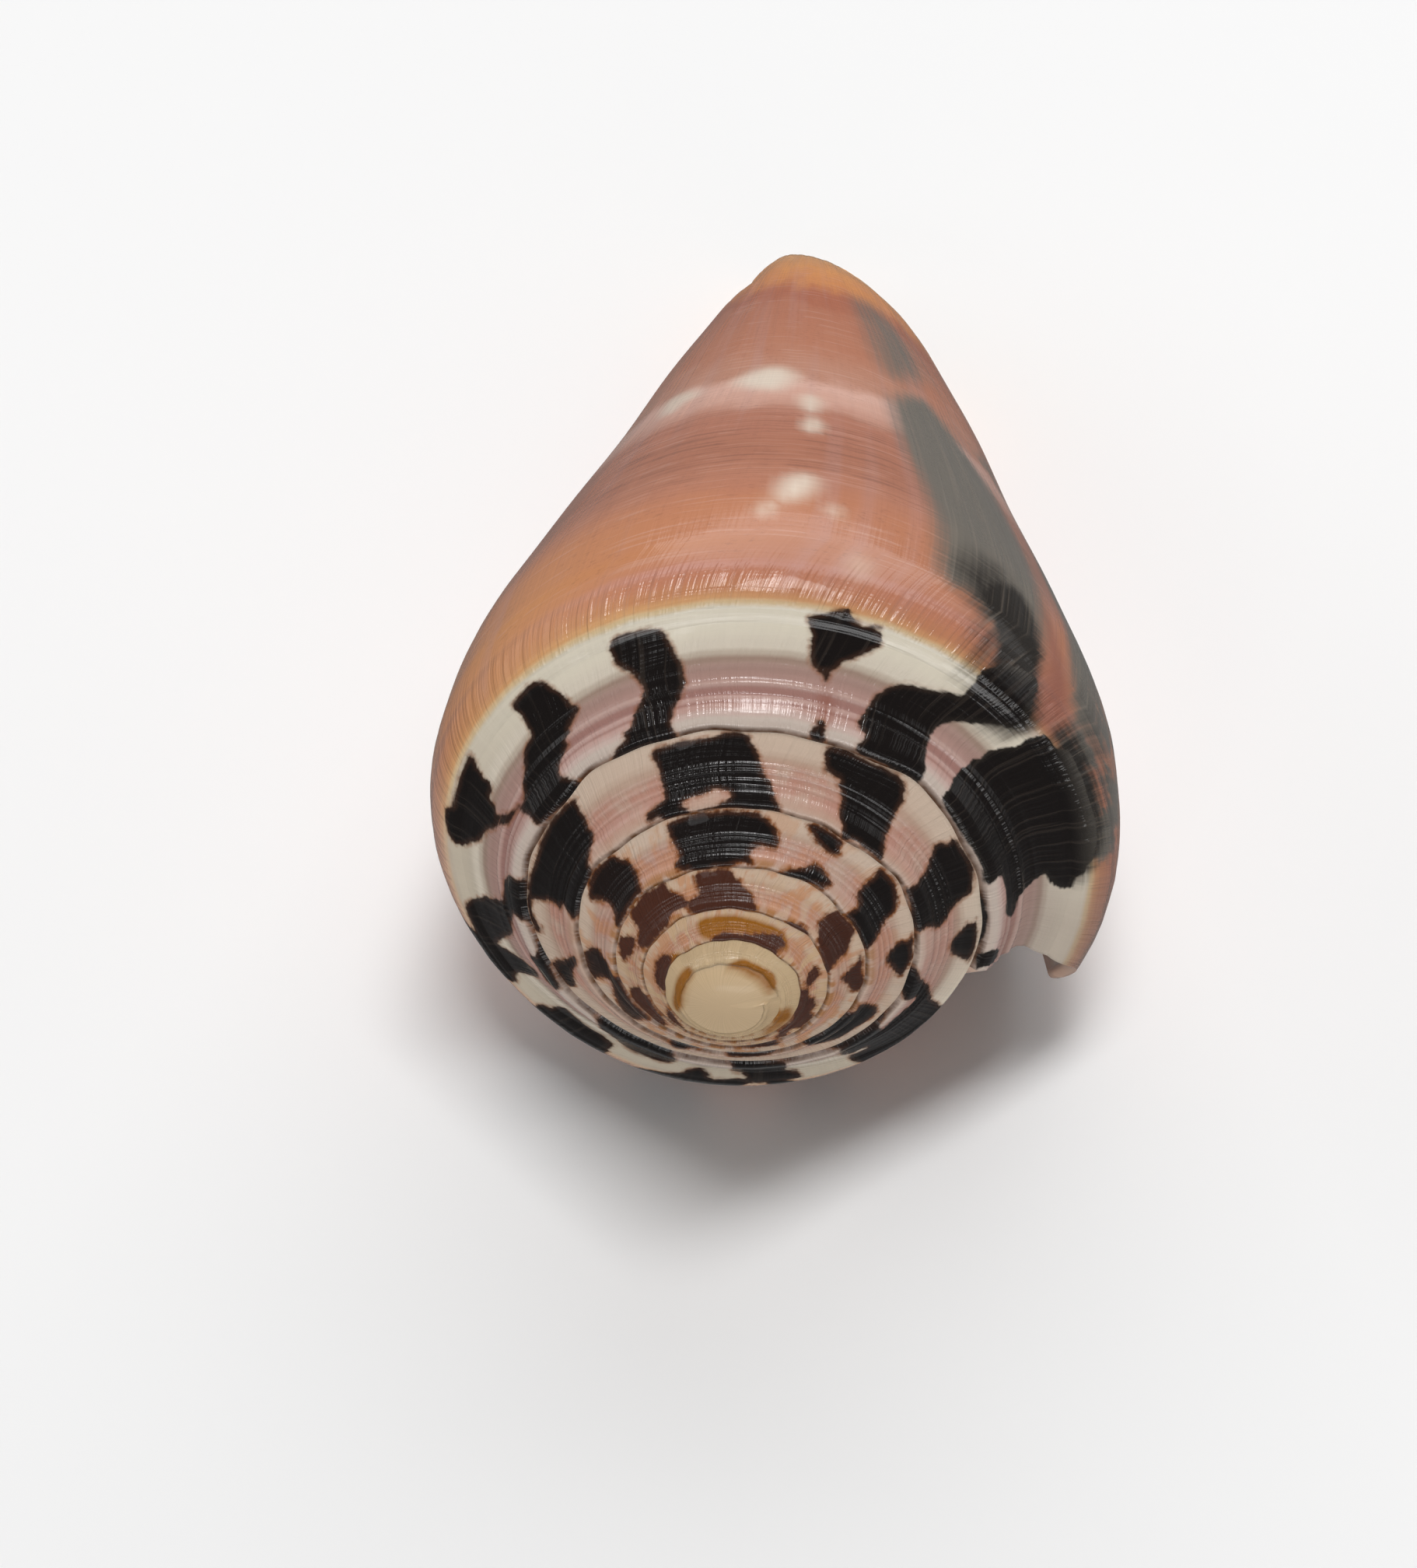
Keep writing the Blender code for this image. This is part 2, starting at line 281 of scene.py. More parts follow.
    def section(self, back: np.ndarray, station: np.ndarray) -> np.ndarray:
        """Work out the outer surface's section.

        Args:
            back: Growth angles, in degrees.
            station: Stations across the whorl.

        Returns:
            Radius and height, as the last axis.
        """
        back, station = np.broadcast_arrays(np.asarray(back, float), np.asarray(station, float))
        ramp = self.ramp(back, np.clip(station, 0.0, 1.0))
        rounding = self.rounding(back, np.clip(station, 1.0, 2.0))
        wall = self.wall(back, np.clip(station, 2.0, 3.0))
        picks = [station <= 1.0, station < 2.0]
        parts = [np.select(picks, [ramp[i], rounding[i]], wall[i]) for i in (0, 1)]
        return np.stack(parts, axis=-1)

    def run(self, back: np.ndarray, station: np.ndarray) -> np.ndarray:
        """Find which way the section runs.

        Args:
            back: Growth angles, in degrees.
            station: Stations across the whorl.

        Returns:
            Unit directions of rising station.
        """
        low = self.section(back, np.maximum(station - self.run_nudge, 0.0))
        high = self.section(back, np.minimum(station + self.run_nudge, 3.0))
        return (high - low) / np.linalg.norm(high - low, axis=-1, keepdims=True)

    def turned(self, section: np.ndarray, back: np.ndarray) -> np.ndarray:
        """Swing a section round the axis.

        Args:
            section: Radii and heights, as the last axis.
            back: Growth angles, in degrees.

        Returns:
            Points in space.
        """
        azimuth = np.radians(self.lip_azimuth + back)
        x, y = section[..., 0] * np.cos(azimuth), section[..., 0] * np.sin(azimuth)
        return np.stack([x, y, section[..., 1]], axis=-1)

    def chart(self, back: float, steps: int) -> tuple[np.ndarray, np.ndarray, np.ndarray]:
        """Measure across the whorl at one growth angle.

        Args:
            back: The growth angle.
            steps: How many stations to measure at.

        Returns:
            Stations, radii, and lengths along the section from the suture.
        """
        stations = np.linspace(0.0, 3.0, steps)
        section = self.section(np.full_like(stations, back), stations)
        gaps = np.linalg.norm(np.diff(section, axis=0), axis=1)
        return stations, section[:, 0], np.concatenate([[0.0], np.cumsum(gaps)])


@dataclass(frozen=True)
class Relief:
    """Fine relief that stands on the outer surface."""

    body_ridges: Ridges = (
        (0.168, 0.026, 0.9), (0.228, 0.013, 0.8), (0.308, 0.021, 1.0), (0.445, 0.030, 1.0),
        (0.615, 0.030, 0.3),
    )
    spire_ridges: Ridges = (
        (0.225, 0.038, 0.9), (0.365, 0.021, 0.9), (0.487, 0.023, 1.0), (0.580, 0.018, 0.8),
        (0.730, 0.022, 0.3),
    )
    spire_start: float = 290.0
    spire_span: float = 70.0
    ridge_height: float = 0.10 * MM
    growth_height: float = 0.0088 * MM
    growth_pitches: tuple[float, ...] = (4.9, 7.9, 12.3, 19.7)
    groove_depth: float = 0.32 * MM
    groove_station: float = 2.9
    groove_width: float = 0.035
    groove_span: Pair = (150.0, 250.0)
    groove_fade: float = 30.0
    scar_growth: float = 92.0
    scar_width: float = 1.2
    scar_height: float = 0.05 * MM
    scar_start: Pair = (1.6, 0.3)
    scar_end: Pair = (2.35, 0.15)
    suture_gap: float = 0.08
    spire_end: Pair = (0.9, 0.1)
    worn_end: Pair = (5.6 * TURN, 180.0)
    wander: float = 0.085 * MM
    wander_pitches: tuple[float, ...] = (67.0, 43.0, 29.0, 17.0)
    wander_start: float = 40.0

    def ridge_mask(self, back: np.ndarray, station: np.ndarray) -> np.ndarray:
        """Mask the spiral ridges on the ramp, which differ a little on the older whorls.

        Args:
            back: Growth angles, in degrees.
            station: Stations across the whorl.

        Returns:
            Shares of the ridges' height.
        """
        body = sum(share * bell(station, at, width) for at, width, share in self.body_ridges)
        spire = sum(share * bell(station, at, width) for at, width, share in self.spire_ridges)
        older = ease((back - self.spire_start) / self.spire_span)
        return np.clip(body + (spire - body) * older, 0.0, 1.0)

    def height(self, back: np.ndarray, station: np.ndarray, growth: np.ndarray) -> np.ndarray:
        """Height of the relief above the plain surface.

        Args:
            back: Growth angles, in degrees.
            station: Stations across the whorl.
            growth: Growth angles with the lip's curve taken out.

        Returns:
            Heights in metres.
        """
        size = np.maximum(whorl_size(back), 0.25)
        wave = sum(
            math.cos(2.1 * i) * np.sin(2.0 * np.pi * growth / pitch + 1.7 * i * i)
            for i, pitch in enumerate(self.growth_pitches, 1)
        )
        older = 1.0 - ease((station - self.spire_end[0]) / self.spire_end[1])
        spire_end = np.where(back > TURN, older, 1.0)
        fresh = ease((self.worn_end[0] - back) / self.worn_end[1])
        held = ease(station / self.suture_gap) * spire_end * fresh
        high = self.ridge_height * self.ridge_mask(back, station) + self.growth_height * wave
        high = high * held * size
        inside = ease((back - self.groove_span[0]) / self.groove_fade)
        inside = inside * (1.0 - ease((back - self.groove_span[1]) / self.groove_fade))
        high = high - self.groove_depth * bell(station, self.groove_station, self.groove_width) * inside
        on_wall = ease((station - self.scar_start[0]) / self.scar_start[1])
        on_wall = on_wall * (1.0 - ease((station - self.scar_end[0]) / self.scar_end[1]))
        return high + self.scar_height * bell(growth, self.scar_growth, self.scar_width) * on_wall

    def suture_shift(self, back: np.ndarray) -> np.ndarray:
        """Work out how far the suture wanders across the whorl.

        Args:
            back: Growth angles, in degrees.

        Returns:
            Shifts in metres.
        """
        wave = sum(
            np.sin(2.0 * np.pi * back / pitch + 2.3 * i * i) / (1.0 + 0.4 * i)
            for i, pitch in enumerate(self.wander_pitches)
        )
        size = np.maximum(whorl_size(back), 0.3)
        return self.wander * wave * size * ease(back / self.wander_start)

    def shift(self, back: np.ndarray, station: np.ndarray) -> np.ndarray:
        """Work out how far wandering sutures carry the points between them.

        Args:
            back: Growth angles, in degrees.
            station: Stations across the whorl.

        Returns:
            Shifts in metres.
        """
        start = self.suture_shift(back) * (1.0 - ease(station / 0.45))
        end = self.suture_shift(back - TURN) * ease((station - 0.55) / 0.45)
        return start + np.where((back > TURN) & (station <= 1.0), end, 0.0)


@dataclass
class ShellGrid:
    """Points and coordinates of the shell's surfaces, still in the shell's own frame."""

    law: GrowthLaw
    relief: Relief
    columns: int = 224
    turns: float = 6.125
    ramp_rows: int = 41
    ramp_bends: tuple[tuple[float, int], ...] = ((0.0, 0), (0.31, 8), (0.68, 33), (1.0, 41))
    rounding_rows: int = 14
    wall_rows: int = 70
    aperture_turn: float = 105.0
    roof_station: float = 1.55
    roof_bend: float = 0.4
    wall_bend: float = 1.12
    straightening: Pair = (110.0, 0.6)
    stations: np.ndarray = field(init=False)

    def __post_init__(self) -> None:
        """Lay out the stations of the mesh rows."""
        places, rows = zip(*self.ramp_bends)
        ramp = np.interp(np.arange(self.ramp_rows), rows, places)
        low = np.linspace(1.0, self.roof_station, self.rounding_rows // 2 + 1)[:-1]
        high = np.linspace(self.roof_station, 2.0, self.rounding_rows // 2 + 1)[:-1]
        wall = 2.0 + np.linspace(0.0, 1.0, self.wall_rows + 1) ** self.wall_bend
        self.stations = np.concatenate([ramp, low, high, wall])

    @property
    def join(self) -> int:
        """Row where the next whorl joins."""
        return self.ramp_rows

    @property
    def roof(self) -> int:
        """Row under which the aperture's roof meets the whorl before."""
        return self.ramp_rows + self.rounding_rows // 2

    @property
    def end(self) -> int:
        """Row of the front end."""
        return len(self.stations) - 1

    @property
    def last(self) -> int:
        """Column at the apex."""
        return round(self.turns * self.columns)

    @property
    def depth(self) -> int:
        """Column where the aperture ends inside the shell."""
        return round(self.aperture_turn / TURN * self.columns)

    def angles(self, columns: np.ndarray, stations: np.ndarray) -> np.ndarray:
        """Growth angles of mesh points."""
        angle = columns * TURN / self.columns
        return angle + self.law.shear(angle, stations)

    def growth(self, back: np.ndarray, station: np.ndarray) -> np.ndarray:
        """Growth angle with the lip's curve taken out, so that a growth line has one value."""
        share = 1.0 - self.straightening[1] * ease(back / self.straightening[0])
        return back - share * self.law.lip.at(np.clip(station, 0.0, 3.0))

    def outer(self, columns: np.ndarray, rows: np.ndarray) -> tuple[np.ndarray, ...]:
        """Place the points of the outer surface.

        Args:
            columns: Mesh columns, from the lip.
            rows: Mesh rows, from the suture.

        Returns:
            Points, growth angles and stations.
        """
        station = self.stations[rows]
        back = self.angles(columns, station)
        section = self.law.section(back, station)
        run = self.law.run(back, station)
        high = self.relief.height(back, station, self.growth(back, station))
        section = section + high[..., None] * np.stack([-run[..., 1], run[..., 0]], axis=-1)
        ramp = np.array([1.0, -self.law.slope]) / math.hypot(1.0, self.law.slope)
        section = section + self.relief.shift(back, station)[..., None] * ramp
        return self.law.turned(section, back), back, station

    def inner(self, columns: np.ndarray, rows: np.ndarray) -> tuple[np.ndarray, ...]:
        """Place the points of the aperture's outer wall.

        Args:
            columns: Mesh columns, from the lip.
            rows: Mesh rows, from the suture.

        Returns:
            Points, growth angles and stations.
        """
        station = self.stations[rows]
        bent = np.maximum(station, self.roof_bend)
        back = self.angles(columns, station)
        here = self.law.section(back, bent)
        run = self.law.run(back, bent)
        room = here[..., 0] - self.law.section(back + TURN, bent)[..., 0]
        grown = ease(back / self.law.thickening_span)
        thick = self.law.lip_thickness + (self.law.wall_thickness - self.law.lip_thickness) * grown
        thick = np.minimum(thick, 0.5 * room)
        here = here + thick[..., None] * np.stack([run[..., 1], -run[..., 0]], axis=-1)
        spot = self.law.turned(here, back)
        roof = self.outer(columns + self.columns, np.full_like(rows, self.roof))[0]
        share = np.minimum(station / self.roof_bend, 1.0)[..., None]
        return roof + (spot - roof) * share, back, station


@dataclass(frozen=True)
class PhotoView:
    """The photograph's camera, in the shell's own frame."""

    focal_pixels: float = 4500.0
    distance: float = 0.144458
    tilt: float = 40.3418
    roll: float = -7.8095
    offset_x: float = 0.00059187
    offset_y: float = -0.01000083

    def rotation(self) -> Matrix:
        """Rotation from the shell's frame to the camera's."""
        tilted = Matrix.Rotation(math.radians(self.tilt), 4, "X")
        return Matrix.Rotation(math.radians(self.roll), 4, "Z") @ tilted

    def pose(self) -> Matrix:
        """Place of the camera in the shell's frame."""
        shift = Matrix.Translation((self.offset_x, self.offset_y, -self.distance))
        return (shift @ self.rotation()).inverted()

    def ray(self, x: float, y: float) -> tuple[Vector, Vector]:
        """Line of sight through a pixel.

        Args:
            x: Pixels from the photograph's left edge.
            y: Pixels from its top edge.

        Returns:
            Start and unit direction in the shell's frame.
        """
        pose = self.pose()
        aim = Vector(((x - PHOTO_WIDTH / 2.0), -(y - PHOTO_HEIGHT / 2.0), -self.focal_pixels))
        return pose.translation, (pose.to_3x3() @ aim).normalized()


class MarkKind(Enum):
    """What a mark on the shell is."""

    INK = "ink"
    GAP = "gap"
    # Soot marks, and the painted shadow beside the lip, which shares their field.
    SOOT = "soot"
    SMOKE = "smoke"
    CLAY = "clay"
    OCHRE = "ochre"
    FLECK = "fleck"

    @property
    def hard(self) -> bool:
        """True where the mark's depth is kept, so that a material can draw its edge."""
        return self in (MarkKind.INK, MarkKind.GAP)

    @property
    def blank(self) -> float:
        """Value away from every such mark."""
        return OUTSIDE if self.hard else 0.0


@dataclass(frozen=True)
class Mark:
    """A patch of colour, outlined in pixels of the photograph, x and y in turn."""

    name: str
    kind: MarkKind
    outline: tuple[float, ...]
    soft: float = 0.6
    strength: float = 1.0
    wrap: float = 2.5
    seed: Pair | None = None

    def smooth_outline(self, steps: int = 3) -> np.ndarray:
        """Round the outline's corners a little with a curve through its points.

        Args:
            steps: Points on the curve for each of the outline's.

        Returns:
            The curve's pixels.
        """
        p = np.array(self.outline, float).reshape(-1, 2)
        before, after, next_one = np.roll(p, 1, 0), np.roll(p, -1, 0), np.roll(p, -2, 0)
        pieces = []
        for k in range(steps):
            t = k / steps
            curve = 2.0 * p + (after - before) * t
            curve += (2.0 * before - 5.0 * p + 4.0 * after - next_one) * t * t
            curve += (3.0 * p - before - 3.0 * after + next_one) * t**3
            pieces.append(0.5 * curve)
        return np.stack(pieces, axis=1).reshape(-1, 2)


@dataclass(frozen=True)
class SpreadMark:
    """A patch of colour on a side that the photograph doesn't show."""

    kind: MarkKind
    back: float
    station: float
    along: float
    across: float
    lean: float = 0.0
    soft: float = 0.6
    strength: float = 1.0
    seed: int = 0


INK, GAP, SMOKE = MarkKind.INK, MarkKind.GAP, MarkKind.SMOKE
SOOT, CLAY, OCHRE, FLECK = MarkKind.SOOT, MarkKind.CLAY, MarkKind.OCHRE, MarkKind.FLECK
Fields = dict[MarkKind, np.ndarray]

# Blotches, smoke, clay stains, pale flecks and a painted shadow beside the lip, all on the last whorl,
# from its ramp to its side.
BODY_MARKS = (
    Mark("heart", INK, (
        1037, 797, 1040, 790, 1050, 788, 1062, 786, 1078, 783, 1092, 780, 1096, 783, 1098, 790,
        1102, 800, 1115, 804, 1128, 803, 1133, 806, 1134, 815, 1136, 823, 1132, 831, 1123, 837,
        1110, 842, 1098, 847, 1086, 852, 1076, 860, 1068, 866, 1065, 876, 1060, 877, 1056, 867,
        1046, 860, 1041, 850, 1041, 835, 1042, 820, 1040, 808)),
    Mark("heart_foot", INK, (
        1050, 925, 1057, 924, 1061, 930, 1062, 945, 1061, 955, 1050, 955, 1040, 950, 1042, 938,
        1048, 930)),
    Mark("hooked", INK, (
        783, 838, 783, 828, 790, 819, 805, 813, 822, 809, 840, 806, 853, 811, 860, 822, 867, 836,
        876, 850, 879, 865, 882, 879, 877, 893, 871, 905, 865, 918, 863, 932, 870, 950, 838, 963,
        812, 972, 790, 981, 788, 972, 793, 961, 803, 950, 801, 943, 812, 931, 813, 920, 820, 908,
        826, 893, 826, 884, 819, 874, 810, 866, 797, 859, 788, 850)),
    Mark("boot", INK, (
        688, 875, 695, 874, 702, 877, 710, 884, 722, 890, 729, 897, 733, 904, 743, 906, 745, 913,
        740, 921, 732, 935, 734, 941, 728, 952, 733, 957, 728, 964, 723, 975, 719, 987, 720, 997,
        723, 998, 730, 997, 738, 1001, 747, 1007, 751, 1011, 742, 1022, 735, 1026, 720, 1040, 705, 1054,
        699, 1060, 688, 1061, 682, 1051, 671, 1046, 668, 1040, 663, 1045, 658, 1054, 652, 1060,
        643, 1060, 642, 1048, 648, 1044, 652, 1046, 658, 1042, 668, 1033, 672, 1030, 674, 1019,
        672, 1004, 674, 990, 672, 976, 675, 963, 679, 952, 682, 945, 679, 938, 674, 929, 668, 919,
        662, 915, 658, 907, 661, 900, 666, 893, 672, 886, 680, 878), seed=(700, 920)),
    Mark("leaf", INK, (
        603, 966, 608, 972, 613, 980, 617, 989, 622, 998, 630, 1003, 632, 1010, 633, 1018, 630, 1024,
        633, 1030, 639, 1038, 638, 1045, 642, 1048, 643, 1059, 639, 1064, 632, 1067, 626, 1068,
        622, 1076, 617, 1081, 610, 1083, 600, 1087, 591, 1089, 586, 1086, 580, 1079, 575, 1070,
        572, 1057, 571, 1046, 572, 1037, 576, 1037, 581, 1036, 583, 1023, 587, 1010, 590, 998, 594, 985,
        599, 973)),
    Mark("lower_left", INK, (
        597, 1165, 600, 1160, 606, 1155, 615, 1153, 626, 1151, 630, 1155, 637, 1153, 641, 1156,
        645, 1155, 647, 1146, 648, 1135, 650, 1128, 653, 1123, 656, 1124, 660, 1128, 668, 1131,
        674, 1130, 679, 1121, 679, 1140, 681, 1160, 686, 1180, 694, 1196, 699, 1206, 694, 1204,
        688, 1198, 685, 1192, 675, 1183, 670, 1184, 664, 1178, 660, 1175, 659, 1185, 660, 1196,
        657, 1204, 651, 1203, 648, 1208, 641, 1211, 641, 1221, 634, 1226, 627, 1226, 622, 1220,
        616, 1207, 611, 1198, 606, 1186, 601, 1176), seed=(628, 1180)),
    Mark("fore_shoulder", INK, (
        687, 1293, 698, 1291, 705, 1294, 708, 1296, 716, 1293, 725, 1295, 729, 1297, 736, 1304,
        748, 1313, 761, 1323, 773, 1329, 784, 1338, 793, 1343, 796, 1343, 793, 1346, 786, 1348,
        780, 1354, 769, 1352, 753, 1343, 736, 1333, 720, 1323, 703, 1311, 691, 1301), seed=(740, 1320)),
    Mark("fore_edge", INK, (
        681, 1229, 686, 1228, 691, 1221, 692, 1205, 697, 1210, 702, 1222, 707, 1234, 711, 1248,
        716, 1258, 722, 1268, 716, 1273, 711, 1271, 705, 1264, 700, 1258, 693, 1248, 688, 1241,
        683, 1233), seed=(699, 1244)),
    Mark("fore_middle", INK, (
        939, 1361, 957, 1363, 994, 1363, 1009, 1363, 1013, 1368, 1010, 1374, 1018, 1376, 1024, 1374,
        1027, 1379, 1033, 1383, 1031, 1386, 1012, 1389, 994, 1391, 975, 1393, 959, 1392, 957, 1380,
        941, 1377, 941, 1371, 937, 1366), seed=(985, 1380)),
    Mark("fore_right", INK, (
        1160, 1281, 1160, 1262, 1170, 1242, 1179, 1246, 1186, 1259, 1194, 1268, 1196, 1285, 1205, 1292,
        1211, 1293, 1200, 1308, 1182, 1325, 1162, 1339, 1143, 1350, 1124, 1360, 1120, 1361, 1114, 1358,
        1114, 1349, 1112, 1346, 1098, 1353, 1081, 1359, 1078, 1357, 1079, 1348, 1086, 1340, 1098, 1331,
        1120, 1318, 1131, 1310, 1134, 1324, 1147, 1311, 1162, 1299, 1173, 1288, 1175, 1283, 1166, 1287
        ), seed=(1160, 1320)),
    Mark("right_leg", INK, (
        1102, 930, 1110, 915, 1118, 905, 1125, 895, 1138, 885, 1150, 880, 1165, 878, 1180, 881,
        1190, 884, 1209, 887, 1226, 890, 1235, 894, 1244, 888, 1249, 881, 1256, 870, 1260, 863,
        1268, 859, 1279, 855, 1292, 850, 1305, 856, 1318, 862, 1330, 868, 1338, 872, 1335, 886,
        1327, 900, 1318, 914, 1320, 930, 1312, 934, 1300, 937, 1290, 934, 1270, 932, 1250, 930,
        1235, 929, 1215, 930, 1204, 937, 1197, 948, 1193, 960, 1191, 975, 1190, 990, 1185, 1003,
        1178, 1008, 1170, 1003, 1155, 995, 1140, 985, 1120, 976, 1100, 968, 1100, 960, 1108, 952,
        1112, 945, 1106, 938), seed=(1160, 920)),
    Mark("right_flame", SOOT, (
        1262, 762, 1285, 752, 1305, 760, 1320, 783, 1330, 812, 1334, 845, 1330, 880, 1330, 905,
        1322, 932, 1295, 936, 1262, 922, 1248, 904, 1262, 885, 1277, 862, 1285, 838, 1285, 815,
        1276, 788), soft=1.3, strength=1.5, seed=(1305, 810)),
    Mark("flame_shade", SOOT, (
        1226, 724, 1244, 714, 1270, 718, 1294, 746, 1284, 790, 1286, 838, 1264, 874, 1240, 868,
        1252, 830, 1252, 790, 1238, 756), soft=1.9, strength=0.75),
    Mark("field_shade", SOOT, (
        1352, 944, 1366, 930, 1384, 940, 1402, 975, 1414, 1020, 1420, 1062, 1414, 1096, 1400, 1122,
        1384, 1132, 1376, 1080, 1368, 1020, 1358, 970), soft=1.1, seed=(1390, 1040)),
    Mark("right_field", INK, (
        1209, 1025, 1217, 1018, 1221, 1012, 1223, 1005, 1228, 996, 1236, 988, 1245, 982, 1250, 976,
        1261, 973, 1265, 967, 1279, 962, 1290, 961, 1301, 959, 1312, 956, 1320, 949, 1333, 946,
        1340, 943, 1347, 946, 1352, 951, 1357, 957, 1364, 962, 1372, 961, 1380, 972, 1388, 990,
        1396, 1010, 1404, 1035, 1410, 1060, 1412, 1080, 1410, 1095, 1405, 1108, 1399, 1111, 1396, 1120,
        1391, 1127, 1385, 1128, 1382, 1133, 1380, 1141, 1374, 1141, 1366, 1142, 1360, 1139, 1353, 1135,
        1348, 1129, 1342, 1125, 1337, 1128, 1331, 1132, 1323, 1138, 1317, 1146, 1311, 1152, 1308, 1162,
        1305, 1172, 1300, 1180, 1296, 1179, 1292, 1172, 1293, 1160, 1292, 1142, 1289, 1130, 1284, 1127,
        1281, 1132, 1275, 1137, 1268, 1137, 1263, 1132, 1259, 1110, 1252, 1095, 1240, 1080, 1226, 1058,
        1215, 1040), seed=(1310, 1040)),
    Mark("right_foot", INK, (
        1262, 1224, 1283, 1219, 1284, 1228, 1279, 1236, 1270, 1242, 1259, 1245, 1254, 1246, 1253, 1236,
        1256, 1224), seed=(1270, 1232)),
    # A dark strip along the suture at the right side.
    Mark("right_edge", INK, (
        1261, 1130, 1265, 1142, 1268, 1155, 1269, 1170, 1272, 1178, 1269, 1184, 1267, 1196, 1264, 1208,
        1263, 1222, 1257, 1224, 1257, 1205, 1255, 1190, 1258, 1170, 1260, 1150), seed=(1264, 1185)),
    Mark("side_haze_front", SMOKE, (
        1098, 392, 1110, 415, 1120, 446, 1134, 474, 1150, 490, 1178, 492, 1190, 486, 1178, 458,
        1156, 428, 1134, 404, 1112, 385), soft=1.6, strength=0.75),
    Mark("side_haze", SMOKE, (
        1146, 516, 1152, 545, 1162, 572, 1176, 600, 1190, 632, 1200, 662, 1204, 700, 1206, 735,
        1224, 752, 1246, 764, 1262, 784, 1276, 806, 1290, 830, 1300, 858, 1325, 870, 1340, 830,
        1342, 790, 1332, 745, 1312, 700, 1292, 662, 1268, 622, 1240, 582, 1214, 545, 1192, 518,
        1168, 508), soft=1.2, strength=0.9),
    Mark("lip_haze", SMOKE, (
        1302, 640, 1330, 690, 1352, 740, 1368, 790, 1376, 840, 1380, 890, 1376, 935, 1364, 950,
        1376, 990, 1390, 1030, 1396, 1070, 1400, 1110, 1416, 1112, 1436, 1085, 1439, 1030, 1434, 960,
        1418, 900, 1400, 852, 1380, 806, 1354, 750, 1328, 694, 1308, 650
        ), soft=1.2, strength=1.05, wrap=7.0, seed=(1405, 960)),
    # Painted shadow: a dark smudge beside the lip where shade falls, kept with the soot marks.
    Mark("lip_shadow", SOOT, (
        1384, 880, 1400, 890, 1420, 940, 1430, 1000, 1432, 1060, 1420, 1100, 1404, 1100, 1398, 1040,
        1392, 980, 1384, 930), soft=1.6, strength=0.42, seed=(1412, 1010)),
    Mark("shoulder_clay", CLAY, (
        1338, 775, 1350, 800, 1362, 835, 1370, 870, 1374, 905, 1370, 935, 1356, 952, 1338, 945,
        1324, 932, 1322, 914, 1334, 896, 1344, 868, 1348, 838, 1344, 805), soft=0.8, strength=0.9),
    Mark("side_clay", CLAY, (
        1196, 512, 1206, 518, 1240, 562, 1268, 606, 1290, 650, 1284, 654, 1262, 616, 1234, 574,
        1204, 534), soft=0.7, strength=0.12),
    Mark("ramp_stain", CLAY, (
        1056, 893, 1068, 894, 1070, 910, 1066, 928, 1057, 926, 1054, 908), soft=0.4, strength=0.8),
    Mark("front_fleck", FLECK, (
        948, 492, 962, 482, 985, 474, 1008, 474, 1022, 482, 1016, 492, 1002, 500, 984, 500, 964, 498
        ), soft=0.8, strength=0.95),
    Mark("front_tail", FLECK, (
        1032, 512, 1042, 508, 1052, 514, 1054, 524, 1044, 530, 1034, 524), soft=0.6, strength=0.85),
    Mark("front_dot", FLECK, (
        1034, 544, 1044, 537, 1056, 542, 1056, 552, 1044, 556, 1035, 552), soft=0.5, strength=0.85),
    Mark("front_wisp", FLECK, (
        850, 534, 856, 520, 872, 508, 894, 502, 898, 508, 880, 518, 866, 530), soft=0.6, strength=0.75),
    Mark("shoulder_fleck", FLECK, (
        1090, 728, 1096, 718, 1106, 716, 1116, 724, 1118, 734, 1108, 740, 1096, 738
        ), soft=0.8, strength=0.35),
    Mark("middle_fleck", FLECK, (
        1000, 632, 1010, 616, 1030, 610, 1046, 614, 1048, 624, 1036, 636, 1018, 642, 1004, 642
        ), soft=0.8, strength=0.95),
    Mark("middle_dot", FLECK, (
        976, 656, 986, 646, 996, 646, 992, 656, 982, 662), soft=0.6, strength=0.75),
    Mark("middle_dot_right", FLECK, (
        1064, 656, 1074, 650, 1082, 656, 1074, 664), soft=0.6, strength=0.55),
)

